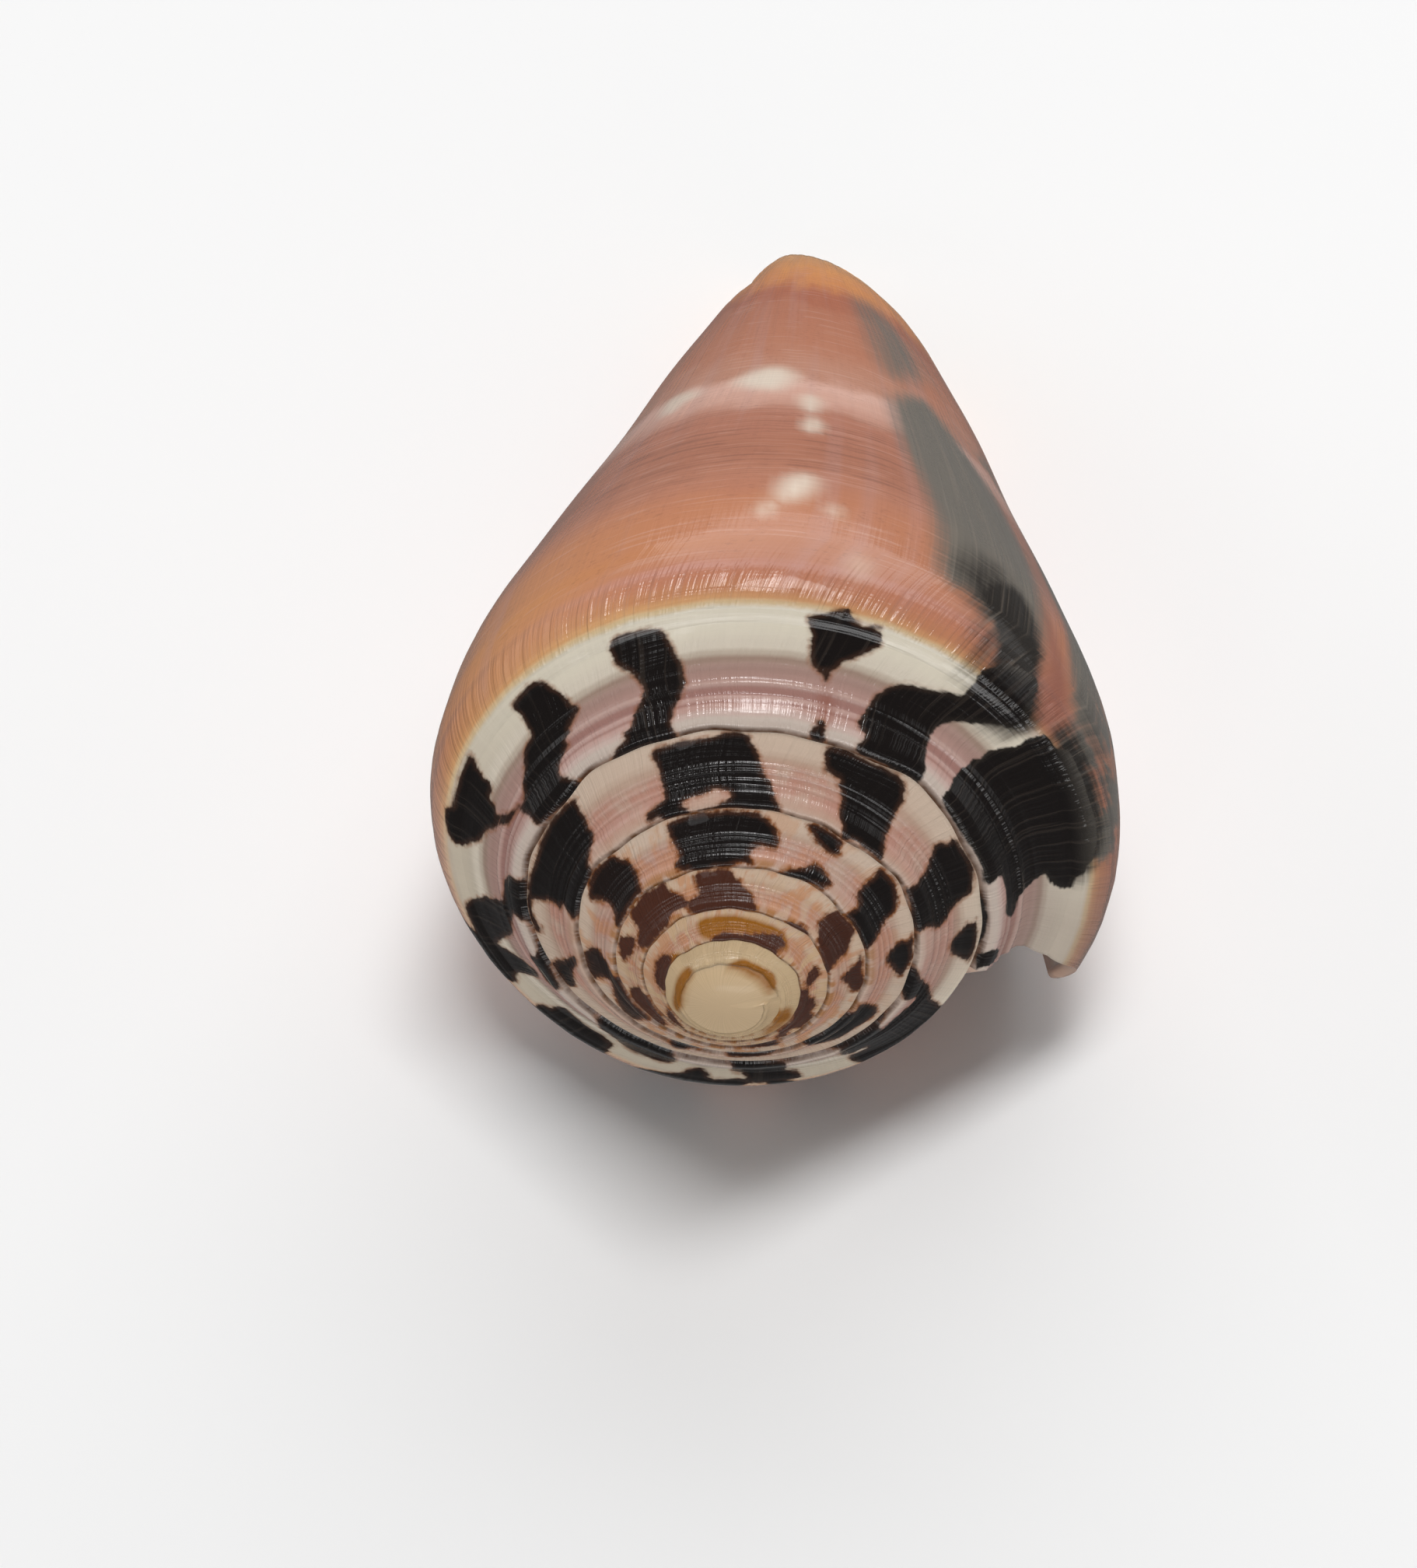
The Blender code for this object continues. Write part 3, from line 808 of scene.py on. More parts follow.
# Blotches on the ramp of the whorl before it.
PENULTIMATE_MARKS = (
    Mark("crown", INK, (
        838, 966, 871, 953, 900, 949, 925, 943, 938, 941, 943, 936, 952, 935, 960, 940, 966, 950,
        973, 962, 977, 975, 983, 995, 990, 1003, 995, 1015, 999, 1030, 1003, 1037, 1003, 1044,
        985, 1044, 960, 1041, 940, 1039, 915, 1041, 900, 1044, 885, 1047, 870, 1051, 856, 1056,
        847, 1053, 835, 1057, 829, 1054, 832, 1046, 836, 1041, 845, 1034, 853, 1028, 853, 1018,
        850, 1008, 848, 998, 846, 990, 842, 980), seed=(930, 990)),
    Mark("crown_window", GAP, (
        878, 1034, 888, 1027, 905, 1021, 920, 1015, 940, 1020, 930, 1030, 915, 1037, 897, 1040,
        896, 1050, 889, 1047, 885, 1040), seed=(908, 1030)),
    Mark("right_block", INK, (
        1060, 962, 1075, 960, 1100, 967, 1120, 976, 1140, 985, 1155, 995, 1163, 1003, 1164, 1015,
        1163, 1029, 1158, 1036, 1154, 1042, 1149, 1054, 1145, 1064, 1139, 1076, 1138, 1085, 1138, 1095,
        1135, 1105, 1129, 1106, 1122, 1099, 1111, 1092, 1103, 1084, 1094, 1079, 1083, 1082, 1082, 1070,
        1082, 1060, 1079, 1054, 1079, 1042, 1082, 1029, 1080, 1018, 1077, 1010, 1080, 1003, 1070, 997,
        1061, 990, 1060, 975), seed=(1115, 1030)),
    Mark("side_block", INK, (
        1203, 1086, 1210, 1083, 1218, 1086, 1222, 1079, 1227, 1077, 1238, 1088, 1249, 1100, 1252, 1117,
        1252, 1131, 1251, 1140, 1248, 1150, 1239, 1156, 1231, 1162, 1225, 1169, 1219, 1178, 1213, 1187,
        1204, 1194, 1192, 1193, 1185, 1198, 1177, 1198, 1174, 1188, 1171, 1176, 1169, 1160, 1164, 1148,
        1160, 1140, 1167, 1141, 1176, 1137, 1182, 1131, 1188, 1122, 1192, 1114, 1195, 1103, 1199, 1092
        ), seed=(1205, 1140)),
    Mark("side_spur", INK, (
        1237, 1194, 1242, 1187, 1251, 1188, 1254, 1182, 1257, 1190, 1257, 1205, 1254, 1216, 1252, 1223,
        1248, 1231, 1243, 1238, 1235, 1236, 1229, 1234, 1223, 1227, 1221, 1216, 1225, 1208, 1231, 1201
        ), seed=(1240, 1212)),
    Mark("left_tower", INK, (
        740, 1024, 742, 1032, 746, 1040, 752, 1049, 755, 1057, 758, 1065, 762, 1068, 764, 1073,
        763, 1082, 760, 1091, 758, 1101, 758, 1112, 763, 1119, 757, 1132, 753, 1144, 749, 1158,
        746, 1172, 744, 1180, 740, 1182, 736, 1182, 731, 1175, 727, 1169, 724, 1164, 720, 1171,
        717, 1165, 710, 1160, 700, 1158, 690, 1158, 684, 1157, 684, 1169, 688, 1180, 693, 1189,
        698, 1191, 696, 1198, 688, 1198, 680, 1184, 675, 1165, 675, 1142, 679, 1127, 685, 1113,
        690, 1100, 694, 1085, 699, 1066, 706, 1053, 717, 1043, 728, 1034), seed=(720, 1110)),
    Mark("fore_left", INK, (
        707, 1237, 713, 1237, 716, 1233, 724, 1234, 731, 1230, 738, 1229, 742, 1238, 737, 1251,
        740, 1261, 741, 1268, 733, 1269, 723, 1267, 716, 1256, 710, 1246), seed=(727, 1250)),
    Mark("fore_block", INK, (
        764, 1303, 770, 1306, 776, 1300, 780, 1299, 787, 1304, 797, 1310, 812, 1319, 828, 1327,
        844, 1334, 858, 1340, 868, 1348, 864, 1353, 869, 1358, 869, 1364, 864, 1367, 844, 1364,
        828, 1358, 813, 1351, 800, 1343, 789, 1334, 776, 1325, 769, 1319, 768, 1312), seed=(815, 1335)),
    Mark("fore_stripe", INK, (
        933, 1353, 938, 1348, 951, 1348, 962, 1346, 981, 1347, 999, 1344, 1003, 1345, 999, 1350,
        990, 1356, 966, 1359, 948, 1359, 938, 1358), seed=(968, 1353)),
    Mark("fore_wedge", INK, (
        1014, 1353, 1030, 1350, 1044, 1345, 1061, 1341, 1078, 1336, 1090, 1331, 1104, 1322, 1118, 1312,
        1131, 1303, 1140, 1300, 1137, 1308, 1122, 1319, 1100, 1334, 1090, 1341, 1082, 1349, 1078, 1347,
        1061, 1348, 1040, 1353, 1022, 1357), seed=(1085, 1340)),
)

# Blotches and ochre stains of the small whorls, inwards to the tip.
UPPER_MARKS = (
    Mark("third_crown", INK, (
        858, 1058, 870, 1052, 885, 1047, 900, 1044, 920, 1042, 940, 1041, 960, 1042, 975, 1044,
        985, 1051, 993, 1058, 998, 1065, 1001, 1073, 1002, 1081, 1000, 1088, 996, 1091, 981, 1088,
        971, 1091, 966, 1097, 965, 1103, 967, 1109, 966, 1112, 955, 1110, 947, 1111, 938, 1115,
        921, 1115, 913, 1118, 900, 1120, 885, 1120, 875, 1120, 867, 1115, 869, 1108, 872, 1101,
        870, 1095, 865, 1085, 861, 1077, 857, 1066), seed=(925, 1080)),
    Mark("third_dash", INK, (
        1038, 1059, 1049, 1059, 1060, 1062, 1070, 1065, 1081, 1071, 1085, 1083, 1081, 1090, 1080, 1098,
        1075, 1100, 1067, 1098, 1059, 1092, 1050, 1083, 1044, 1074, 1042, 1067), seed=(1064, 1080)),
    Mark("third_right", INK, (
        1133, 1115, 1139, 1120, 1145, 1128, 1151, 1136, 1153, 1146, 1155, 1156, 1153, 1167, 1148, 1175,
        1141, 1181, 1135, 1192, 1131, 1200, 1125, 1211, 1119, 1219, 1113, 1224, 1108, 1214, 1103, 1203,
        1100, 1195, 1095, 1187, 1088, 1177, 1094, 1170, 1101, 1168, 1103, 1161, 1101, 1148, 1106, 1143,
        1111, 1137, 1117, 1131, 1123, 1127, 1128, 1118), seed=(1128, 1165)),
    Mark("third_spot", INK, (
        1153, 1213, 1160, 1209, 1169, 1209, 1173, 1200, 1175, 1211, 1174, 1225, 1173, 1232, 1166, 1247,
        1160, 1255, 1154, 1254, 1145, 1243, 1139, 1235, 1141, 1227, 1147, 1219), seed=(1157, 1232)),
    Mark("third_foot", INK, (
        1080, 1259, 1086, 1253, 1090, 1248, 1097, 1242, 1103, 1238, 1105, 1226, 1108, 1226, 1109, 1240,
        1110, 1255, 1120, 1260, 1118, 1268, 1112, 1274, 1105, 1274, 1094, 1274, 1090, 1266, 1083, 1262
        ), seed=(1100, 1260)),
    Mark("third_left", INK, (
        781, 1100, 789, 1101, 797, 1103, 805, 1105, 812, 1110, 816, 1116, 820, 1125, 823, 1137,
        825, 1145, 820, 1153, 814, 1162, 809, 1169, 804, 1178, 800, 1188, 797, 1194, 792, 1192,
        790, 1184, 790, 1176, 787, 1169, 784, 1164, 778, 1161, 767, 1158, 760, 1157, 756, 1150,
        757, 1140, 758, 1133, 762, 1122, 773, 1109), seed=(790, 1135)),
    Mark("third_fore", INK, (
        742, 1238, 744, 1231, 750, 1224, 754, 1220, 763, 1217, 771, 1221, 775, 1229, 780, 1236,
        785, 1248, 791, 1256, 797, 1256, 800, 1262, 805, 1273, 812, 1284, 820, 1294, 829, 1302,
        836, 1311, 826, 1310, 822, 1312, 812, 1309, 804, 1306, 800, 1302, 795, 1290, 790, 1280,
        788, 1270, 785, 1262, 778, 1257, 768, 1258, 763, 1262, 756, 1261, 750, 1252, 745, 1244
        ), seed=(765, 1240)),
    Mark("third_low", INK, (
        860, 1336, 876, 1338, 888, 1342, 900, 1347, 890, 1348, 877, 1349, 866, 1346), seed=(878, 1343)),
    Mark("third_low_right", INK, (
        1029, 1338, 1049, 1330, 1061, 1322, 1073, 1313, 1081, 1307, 1088, 1301, 1099, 1300, 1105, 1292,
        1114, 1290, 1125, 1292, 1129, 1298, 1127, 1303, 1117, 1311, 1103, 1320, 1088, 1330, 1072, 1337,
        1056, 1341, 1040, 1344), seed=(1090, 1315)),
    Mark("fourth_crown", INK, (
        895, 1123, 913, 1119, 930, 1116, 941, 1119, 946, 1128, 954, 1133, 956, 1140, 966, 1149,
        969, 1155, 971, 1163, 974, 1172, 961, 1171, 945, 1171, 920, 1171, 906, 1173, 890, 1175,
        884, 1166, 888, 1157, 898, 1149, 896, 1138, 893, 1130), seed=(930, 1150)),
    Mark("fourth_left", INK, (
        841, 1140, 848, 1134, 856, 1134, 861, 1144, 870, 1149, 880, 1155, 886, 1159, 884, 1165,
        876, 1169, 868, 1172, 862, 1178, 859, 1190, 851, 1199, 843, 1207, 836, 1216, 831, 1219,
        821, 1217, 820, 1207, 821, 1196, 815, 1186, 811, 1177, 812, 1166, 820, 1155, 830, 1146
        ), seed=(845, 1170)),
    Mark("fourth_spot", INK, (
        797, 1204, 805, 1203, 815, 1205, 817, 1214, 813, 1226, 807, 1232, 802, 1235, 799, 1230,
        796, 1221, 795, 1211), seed=(806, 1218)),
    Mark("fourth_right", INK, (
        986, 1129, 991, 1123, 1000, 1121, 1009, 1120, 1019, 1114, 1032, 1115, 1041, 1112, 1047, 1111,
        1056, 1115, 1063, 1124, 1069, 1133, 1069, 1138, 1060, 1142, 1057, 1146, 1050, 1140, 1040, 1136,
        1034, 1136, 1029, 1140, 1019, 1142, 1016, 1149, 1010, 1155, 1004, 1155, 999, 1148, 994, 1139
        ), seed=(1040, 1125)),
    Mark("fourth_side", INK, (
        1060, 1180, 1064, 1175, 1070, 1172, 1079, 1168, 1088, 1178, 1095, 1186, 1100, 1196, 1095, 1209,
        1089, 1224, 1082, 1231, 1073, 1240, 1067, 1250, 1062, 1250, 1058, 1237, 1054, 1225, 1051, 1211,
        1052, 1196, 1053, 1186), seed=(1072, 1210)),
    Mark("fourth_fore", INK, (
        811, 1270, 820, 1268, 827, 1276, 834, 1280, 840, 1290, 846, 1300, 852, 1308, 857, 1317,
        852, 1320, 844, 1318, 834, 1311, 826, 1302, 818, 1292, 812, 1282), seed=(832, 1295)),
    Mark("fourth_low", INK, (
        1024, 1272, 1038, 1272, 1040, 1281, 1049, 1285, 1049, 1294, 1042, 1300, 1046, 1306, 1045, 1313,
        1035, 1320, 1029, 1322, 1020, 1322, 1012, 1329, 1018, 1333, 1001, 1338, 999, 1330, 1009, 1318,
        1018, 1311, 1022, 1294, 1024, 1279), seed=(1032, 1295)),
    Mark("fourth_stub", INK, (
        1040, 1248, 1049, 1242, 1055, 1251, 1049, 1261, 1040, 1268, 1035, 1264, 1038, 1255
        ), seed=(1045, 1254)),
    Mark("fourth_stripe", INK, (
        946, 1345, 962, 1341, 981, 1338, 999, 1337, 1002, 1342, 990, 1345, 966, 1347), seed=(975, 1342)),
    Mark("fifth_crown", INK, (
        921, 1201, 939, 1199, 966, 1201, 986, 1200, 999, 1201, 1006, 1204, 1009, 1211, 1007, 1219,
        1000, 1222, 997, 1234, 989, 1230, 979, 1222, 964, 1217, 947, 1214, 934, 1212, 919, 1214,
        914, 1211), seed=(975, 1208)),
    Mark("fifth_left", INK, (
        844, 1237, 850, 1229, 863, 1227, 864, 1236, 860, 1249, 858, 1262, 856, 1274, 848, 1270,
        842, 1260, 842, 1247), seed=(852, 1250)),
    Mark("fifth_arc", INK, (
        1009, 1186, 1016, 1184, 1026, 1186, 1035, 1193, 1041, 1199, 1038, 1203, 1029, 1197, 1019, 1192
        ), seed=(1026, 1191)),
    Mark("fifth_ochre", OCHRE, (
        898, 1194, 900, 1184, 918, 1179, 940, 1178, 962, 1181, 985, 1188, 1004, 1197, 1011, 1208,
        1010, 1222, 985, 1208, 950, 1202, 921, 1206, 905, 1205), soft=0.2, strength=1.5, seed=(935, 1193)),
    Mark("fifth_ochre_left", OCHRE, (
        862, 1228, 872, 1226, 878, 1230, 871, 1240, 864, 1250, 860, 1262, 857, 1250, 862, 1240
        ), soft=0.2, strength=1.4, seed=(866, 1236)),
    Mark("inner_ochre", OCHRE, (
        935, 1243, 946, 1237, 957, 1235, 972, 1241, 989, 1249, 996, 1257, 997, 1269, 993, 1277,
        985, 1268, 977, 1259, 964, 1252, 950, 1245), soft=0.2, strength=1.7, seed=(975, 1250)),
    Mark("inner_ochre_left", OCHRE, (
        884, 1244, 890, 1250, 884, 1262, 879, 1276, 877, 1290, 871, 1300, 866, 1288, 868, 1272,
        873, 1256), soft=0.2, strength=1.5, seed=(876, 1272)),
    Mark("inner_ochre_low", OCHRE, (
        995, 1300, 1016, 1296, 1018, 1307, 1009, 1316, 999, 1327, 984, 1331, 983, 1325, 992, 1316
        ), soft=0.25, seed=(1004, 1312)),
    Mark("inner_brown_low", INK, (
        859, 1297, 863, 1299, 869, 1309, 877, 1319, 886, 1329, 893, 1338, 884, 1334, 872, 1325,
        863, 1315, 857, 1304), seed=(872, 1318)),
)

# Marks of the sides that the photograph doesn't show.
SPREAD_MARKS = (
    SpreadMark(INK, 243.0, 1.40, 3.6, 4.6, -0.3, seed=4),
    SpreadMark(INK, 268.0, 1.85, 3.0, 3.4, 0.2, seed=5),
    SpreadMark(INK, 296.0, 1.50, 3.9, 4.4, -0.5, seed=6),
    SpreadMark(INK, 322.0, 1.75, 2.8, 3.8, 0.3, seed=7),
    SpreadMark(INK, 344.0, 1.30, 3.0, 3.2, 0.0, seed=8),
    SpreadMark(SMOKE, 12.0, 2.12, 8.0, 18.0, 0.2, soft=4.6, strength=0.40, seed=9),
    SpreadMark(SMOKE, 30.0, 2.50, 3.0, 14.0, -0.1, soft=3.2, strength=0.40, seed=10),
    SpreadMark(SMOKE, 228.0, 2.30, 3.6, 12.0, 0.1, soft=2.2, strength=0.35, seed=11),
    SpreadMark(SMOKE, 262.0, 2.45, 3.0, 10.0, -0.2, soft=2.0, strength=0.3, seed=12),
    SpreadMark(FLECK, 236.0, 2.16, 5.0, 2.0, 0.0, soft=1.0, strength=0.6, seed=13),
    SpreadMark(FLECK, 204.0, 2.44, 4.6, 1.4, 0.0, soft=0.9, strength=0.6, seed=14),
    SpreadMark(FLECK, 282.0, 2.42, 6.0, 1.8, 0.0, soft=1.0, strength=0.6, seed=15),
    SpreadMark(FLECK, 38.0, 2.42, 5.0, 1.6, 0.0, soft=1.0, strength=0.4, seed=16),
)


@dataclass
class MarkField:
    """Turns marks into a few numbers at every point of the outer surface."""

    law: GrowthLaw
    view: PhotoView
    points: np.ndarray
    back: np.ndarray
    station: np.ndarray
    quads: np.ndarray
    tree: BVHTree = field(init=False)
    chart_steps: int = 240
    window: float = 110.0
    margin: float = 3.0
    retreat: tuple[float, float, int] = (0.98, 0.5, 25)
    spread_points: int = 48
    spread_waves: tuple[int, ...] = (2, 3, 5)

    def __post_init__(self) -> None:
        """Prepare the surface for lines of sight."""
        self.tree = BVHTree.FromPolygons(self.points.tolist(), self.quads.tolist())

    def hit(self, x: float, y: float) -> tuple[float, float] | None:
        """Find what a pixel sees.

        Args:
            x: Pixels from the photograph's left edge.
            y: Pixels from its top edge.

        Returns:
            Growth angle and station there, or None beside the shell.
        """
        spot, _, face, _ = self.tree.ray_cast(*self.view.ray(x, y))
        if spot is None:
            return None
        corners = self.quads[face]
        p = self.points[corners]
        down, along = p[1] - p[0], p[3] - p[0]
        away = np.array(spot) - p[0]
        t = float(np.clip(away @ down / (down @ down), 0.0, 1.0))
        s = float(np.clip(away @ along / (along @ along), 0.0, 1.0))
        weights = np.array([(1 - t) * (1 - s), t * (1 - s), t * s, (1 - t) * s])
        return float(self.back[corners] @ weights), float(self.station[corners] @ weights)

    def flatten(self, back: np.ndarray, station: np.ndarray, middle: float) -> np.ndarray:
        """Lay growth angles and stations out flat.

        Args:
            back: Growth angles, in degrees.
            station: Stations across the whorl.
            middle: Growth angle that the flat picture is centred on.

        Returns:
            Millimetres along and across the whorl.
        """
        stations, radii, lengths = self.law.chart(middle, self.chart_steps)
        held = np.clip(station, 0.0, 3.0)
        radius = np.interp(held, stations, radii)
        beyond = (lengths[4] - lengths[0]) / (stations[4] - stations[0])
        across = np.interp(held, stations, lengths) + np.minimum(station, 0.0) * beyond
        return np.stack([np.radians(back - middle) * radius, across], axis=-1) / MM

    def outline(self, mark: Mark) -> tuple[np.ndarray, float] | None:
        """Bring a traced outline onto the shell.

        Args:
            mark: The mark.

        Returns:
            The outline laid out flat and the growth angle that it is centred on.
        """
        traced = mark.smooth_outline()
        seed = np.array(mark.seed) if mark.seed else traced.mean(axis=0)
        core = self.hit(*seed)
        if core is None:
            LOG.warning("mark %s is beside the shell", mark.name)
            return None
        middle = core[0]
        core_flat = self.flatten(np.array([core[0]]), np.array([core[1]]), middle)[0]
        flat = []
        for pixel in traced:
            spot, over = self.hit(*pixel), False
            for share in np.linspace(*self.retreat):
                if spot is not None:
                    break
                over = True
                spot = self.hit(*(seed + (pixel - seed) * share))
            if spot is None:
                continue
            whorls = round((spot[0] - middle) / TURN)
            back, station = spot[0] - whorls * TURN, spot[1] - whorls
            place = self.flatten(np.array([back]), np.array([station]), middle)[0]
            if over:
                away = place - core_flat
                place = place + away / max(np.linalg.norm(away), 0.1) * mark.wrap
            flat.append(place)
        return np.array(flat), middle

    def spread_outline(self, mark: SpreadMark) -> tuple[np.ndarray, float]:
        """Make the outline of a mark on a hidden side.

        Args:
            mark: The mark.

        Returns:
            The outline laid out flat and the growth angle that it is centred on.
        """
        rng = np.random.default_rng(mark.seed)
        turn = np.linspace(0.0, 2.0 * np.pi, self.spread_points, endpoint=False)
        reach = np.ones_like(turn)
        for order in self.spread_waves:
            reach += rng.uniform(0.05, 0.2) * np.sin(order * turn + rng.uniform(0.0, 6.28))
        x = mark.along / 2.0 * reach * np.cos(turn)
        y = mark.across / 2.0 * reach * np.sin(turn)
        middle = self.flatten(np.array([mark.back]), np.array([mark.station]), mark.back)[0]
        return middle + np.stack([x + mark.lean * y, y], axis=-1), mark.back

    @staticmethod
    def inside(points: np.ndarray, outline: np.ndarray) -> np.ndarray:
        """Measure how far points lie inside an outline.

        Args:
            points: Places on the flat picture.
            outline: Corners of the outline.

        Returns:
            Depths in millimetres, less than 0 outside.
        """
        nearest = np.full(len(points), np.inf)
        within = np.zeros(len(points), bool)
        for a, b in zip(outline, np.roll(outline, -1, axis=0)):
            edge = b - a
            share = np.clip((points - a) @ edge / max(edge @ edge, 1e-9), 0.0, 1.0)
            gap = points - a - share[:, None] * edge
            nearest = np.minimum(nearest, np.einsum("ij,ij->i", gap, gap))
            if a[1] != b[1]:
                crosses = (a[1] > points[:, 1]) != (b[1] > points[:, 1])
                meet = a[0] + (points[:, 1] - a[1]) / (b[1] - a[1]) * edge[0]
                within ^= crosses & (points[:, 0] < meet)
        return np.where(within, 1.0, -1.0) * np.sqrt(nearest)

    def collect(self, marks: tuple[Mark, ...], spread: tuple[SpreadMark, ...]) -> Fields:
        """Work out every field.

        Args:
            marks: Marks traced in the photograph.
            spread: Marks on hidden sides.

        Returns:
            One array a kind: ink and gap in millimetres inside, the rest from 0 to 1.
        """
        fields = {kind: np.full(len(self.back), kind.blank) for kind in MarkKind}
        shapes = [(mark, self.outline(mark)) for mark in marks]
        shapes += [(mark, self.spread_outline(mark)) for mark in spread]
        for mark, shape in shapes:
            if shape is None or len(shape[0]) < 3:
                continue
            outline, middle = shape
            near = np.flatnonzero(np.abs(self.back - middle) < self.window)
            flat = self.flatten(self.back[near], self.station[near], middle)
            low, high = outline.min(axis=0) - self.margin, outline.max(axis=0) + self.margin
            boxed = np.all((flat > low) & (flat < high), axis=1)
            near, flat = near[boxed], flat[boxed]
            value = self.inside(flat, outline)
            if not mark.kind.hard:
                value = ease(0.5 + value / (2.0 * mark.soft)) * mark.strength
            fields[mark.kind][near] = np.maximum(fields[mark.kind][near], value)
        return fields


class Wiring:
    """Adds nodes to one node tree and links them."""

    def __init__(self, tree: bpy.types.NodeTree) -> None:
        """Keep the tree that is wired."""
        self.tree = tree

    def put(self, socket: Socket, value: Value) -> None:
        """Link a socket, or give it a plain value.

        Args:
            socket: Input to fill.
            value: A node's output, a number or a colour.
        """
        if isinstance(value, bpy.types.NodeSocket):
            self.tree.links.new(value, socket)
        else:
            socket.default_value = (*value, 1.0) if isinstance(value, tuple) else value

    def node(self, kind: str, *values: Value, **choices: object) -> bpy.types.Node:
        """Add a node.

        Args:
            kind: Blender's name for the node.
            values: What its first inputs get.
            choices: Its properties.

        Returns:
            The node.
        """
        node = self.tree.nodes.new(kind)
        for name, choice in choices.items():
            setattr(node, name, choice)
        for socket, value in zip(node.inputs, values):
            self.put(socket, value)
        return node

    def math(self, operation: str, first: Value, *others: Value) -> Value:
        """Run one operation over several numbers.

        Args:
            operation: Blender's name for the operation.
            first: The number to start from.
            others: The numbers that follow, from the left.

        Returns:
            The result.
        """
        for other in others:
            first = self.node("ShaderNodeMath", first, other, operation=operation).outputs[0]
        return first

    def times(self, *factors: Value) -> Value:
        """Product of several numbers."""
        return self.math("MULTIPLY", *factors)

    def plus(self, *terms: Value) -> Value:
        """Sum of several numbers."""
        return self.math("ADD", *terms)

    def fit(self, value: Value, low: float, high: float, to: Pair = WHOLE) -> Socket:
        """Smooth step between two values."""
        kind = "ShaderNodeMapRange"
        return self.node(kind, value, low, high, *to, interpolation_type="SMOOTHSTEP").outputs["Result"]

    def between(self, value: Value, low: float, high: float, soft: float) -> Socket:
        """Band of the values between two limits with soft edges."""
        rise = self.fit(value, low - soft, low + soft)
        return self.times(rise, self.fit(value, high - soft, high + soft, (1.0, 0.0)))

    def mix(self, share: Value, first: Value, second: Value, blend: str = "MIX") -> Socket:
        """Blend two colours.

        Args:
            share: Share of the second colour.
            first: Colour below.
            second: Colour above.
            blend: Blender's name for the way that they blend.

        Returns:
            The colour.
        """
        node = self.node("ShaderNodeMix", data_type="RGBA", blend_type=blend, clamp_factor=True)
        for i, value in ((0, share), (6, first), (7, second)):
            self.put(node.inputs[i], value)
        return node.outputs[2]

    def vector(self, x: Value, y: Value, z: Value) -> Socket:
        """Vector from three numbers."""
        return self.node("ShaderNodeCombineXYZ", x, y, z).outputs[0]

    def stops(self, value: Socket, zones: Zones) -> Socket:
        """Read a colour off a scale.

        Args:
            value: Place on the scale.
            zones: Places and their colours.

        Returns:
            The colour.
        """
        node = self.node("ShaderNodeValToRGB", value)
        node.color_ramp.interpolation = "EASE"
        marks = node.color_ramp.elements
        while len(marks) < len(zones):
            marks.new(1.0)
        for mark, (place, colour) in zip(marks, zones):
            mark.position = place
            mark.color = (*colour, 1.0)
        return node.outputs[0]


class SurfaceGroup:
    """Shader node group that works along the growth angle and across the whorl."""

    def __init__(self, name: str, inputs: tuple[str, ...], outputs: tuple[str, ...]) -> None:
        """Start the group with its number sockets.

        Args:
            name: Name of the group.
            inputs: Names of its inputs besides the two coordinates.
            outputs: Names of its outputs.
        """
        self.tree = bpy.data.node_groups.new(name, "ShaderNodeTree")
        self.wiring = Wiring(self.tree)
        for way, labels in (("INPUT", ("Growth", "Across", *inputs)), ("OUTPUT", outputs)):
            for label in labels:
                self.tree.interface.new_socket(label, in_out=way, socket_type="NodeSocketFloat")
        self.entry = self.wiring.node("NodeGroupInput").outputs
        self.leave = self.wiring.node("NodeGroupOutput").inputs

    def grain(self, along: float, across: float, layer: float, detail: float, rough: float) -> Socket:
        """Make soft noise that is stretched along or across the whorl.

        Args:
            along: Patches a degree of growth.
            across: Patches a millimetre across the whorl.
            layer: Depth that keeps one noise apart from the others.
            detail: Steps of finer noise on it.
            rough: Strength of each finer step.

        Returns:
            The noise.
        """
        w = self.wiring
        places = w.times(self.entry["Growth"], along), w.times(self.entry["Across"], across)
        node = w.node("ShaderNodeTexNoise", w.vector(*places, layer))
        for label, value in (("Scale", 1.0), ("Detail", detail), ("Roughness", rough)):
            node.inputs[label].default_value = value
        return node.outputs["Fac"]

    def place(self, w: Wiring, **values: Value) -> dict[str, Socket]:
        """Add the group to a material.

        Args:
            w: Wiring of the material.
            values: What the group's inputs get.

        Returns:
            Its outputs by name.
        """
        node = w.node("ShaderNodeGroup", node_tree=self.tree)
        for label, value in values.items():
            w.put(node.inputs[label], value)
        return dict(node.outputs.items())


class GrowthWeave(SurfaceGroup):
    """Group that gives the fine growth lines and spiral lines of the surface."""

    GRAINS = {
        "Streaks": (1.0, 0.10, 0.0, 2.0, 0.55),
        "Broad streaks": (0.17, 0.04, 7.0, 2.0, 0.5),
        "Ribs": (0.42, 0.03, 13.0, 2.0, 0.6),
        "Fine spirals": (0.030, 5.0, 5.0, 2.0, 0.5),
        "Cloud": (0.10, 0.45, 11.0, 3.0, 0.55),
        "Grain": (0.6, 6.0, 17.0, 3.0, 0.6),
    }

    def __init__(self) -> None:
        """Wire one noise for each output."""
        super().__init__("growth_weave", (), tuple(self.GRAINS))
        for label, sizes in self.GRAINS.items():
            self.wiring.put(self.leave[label], self.grain(*sizes))


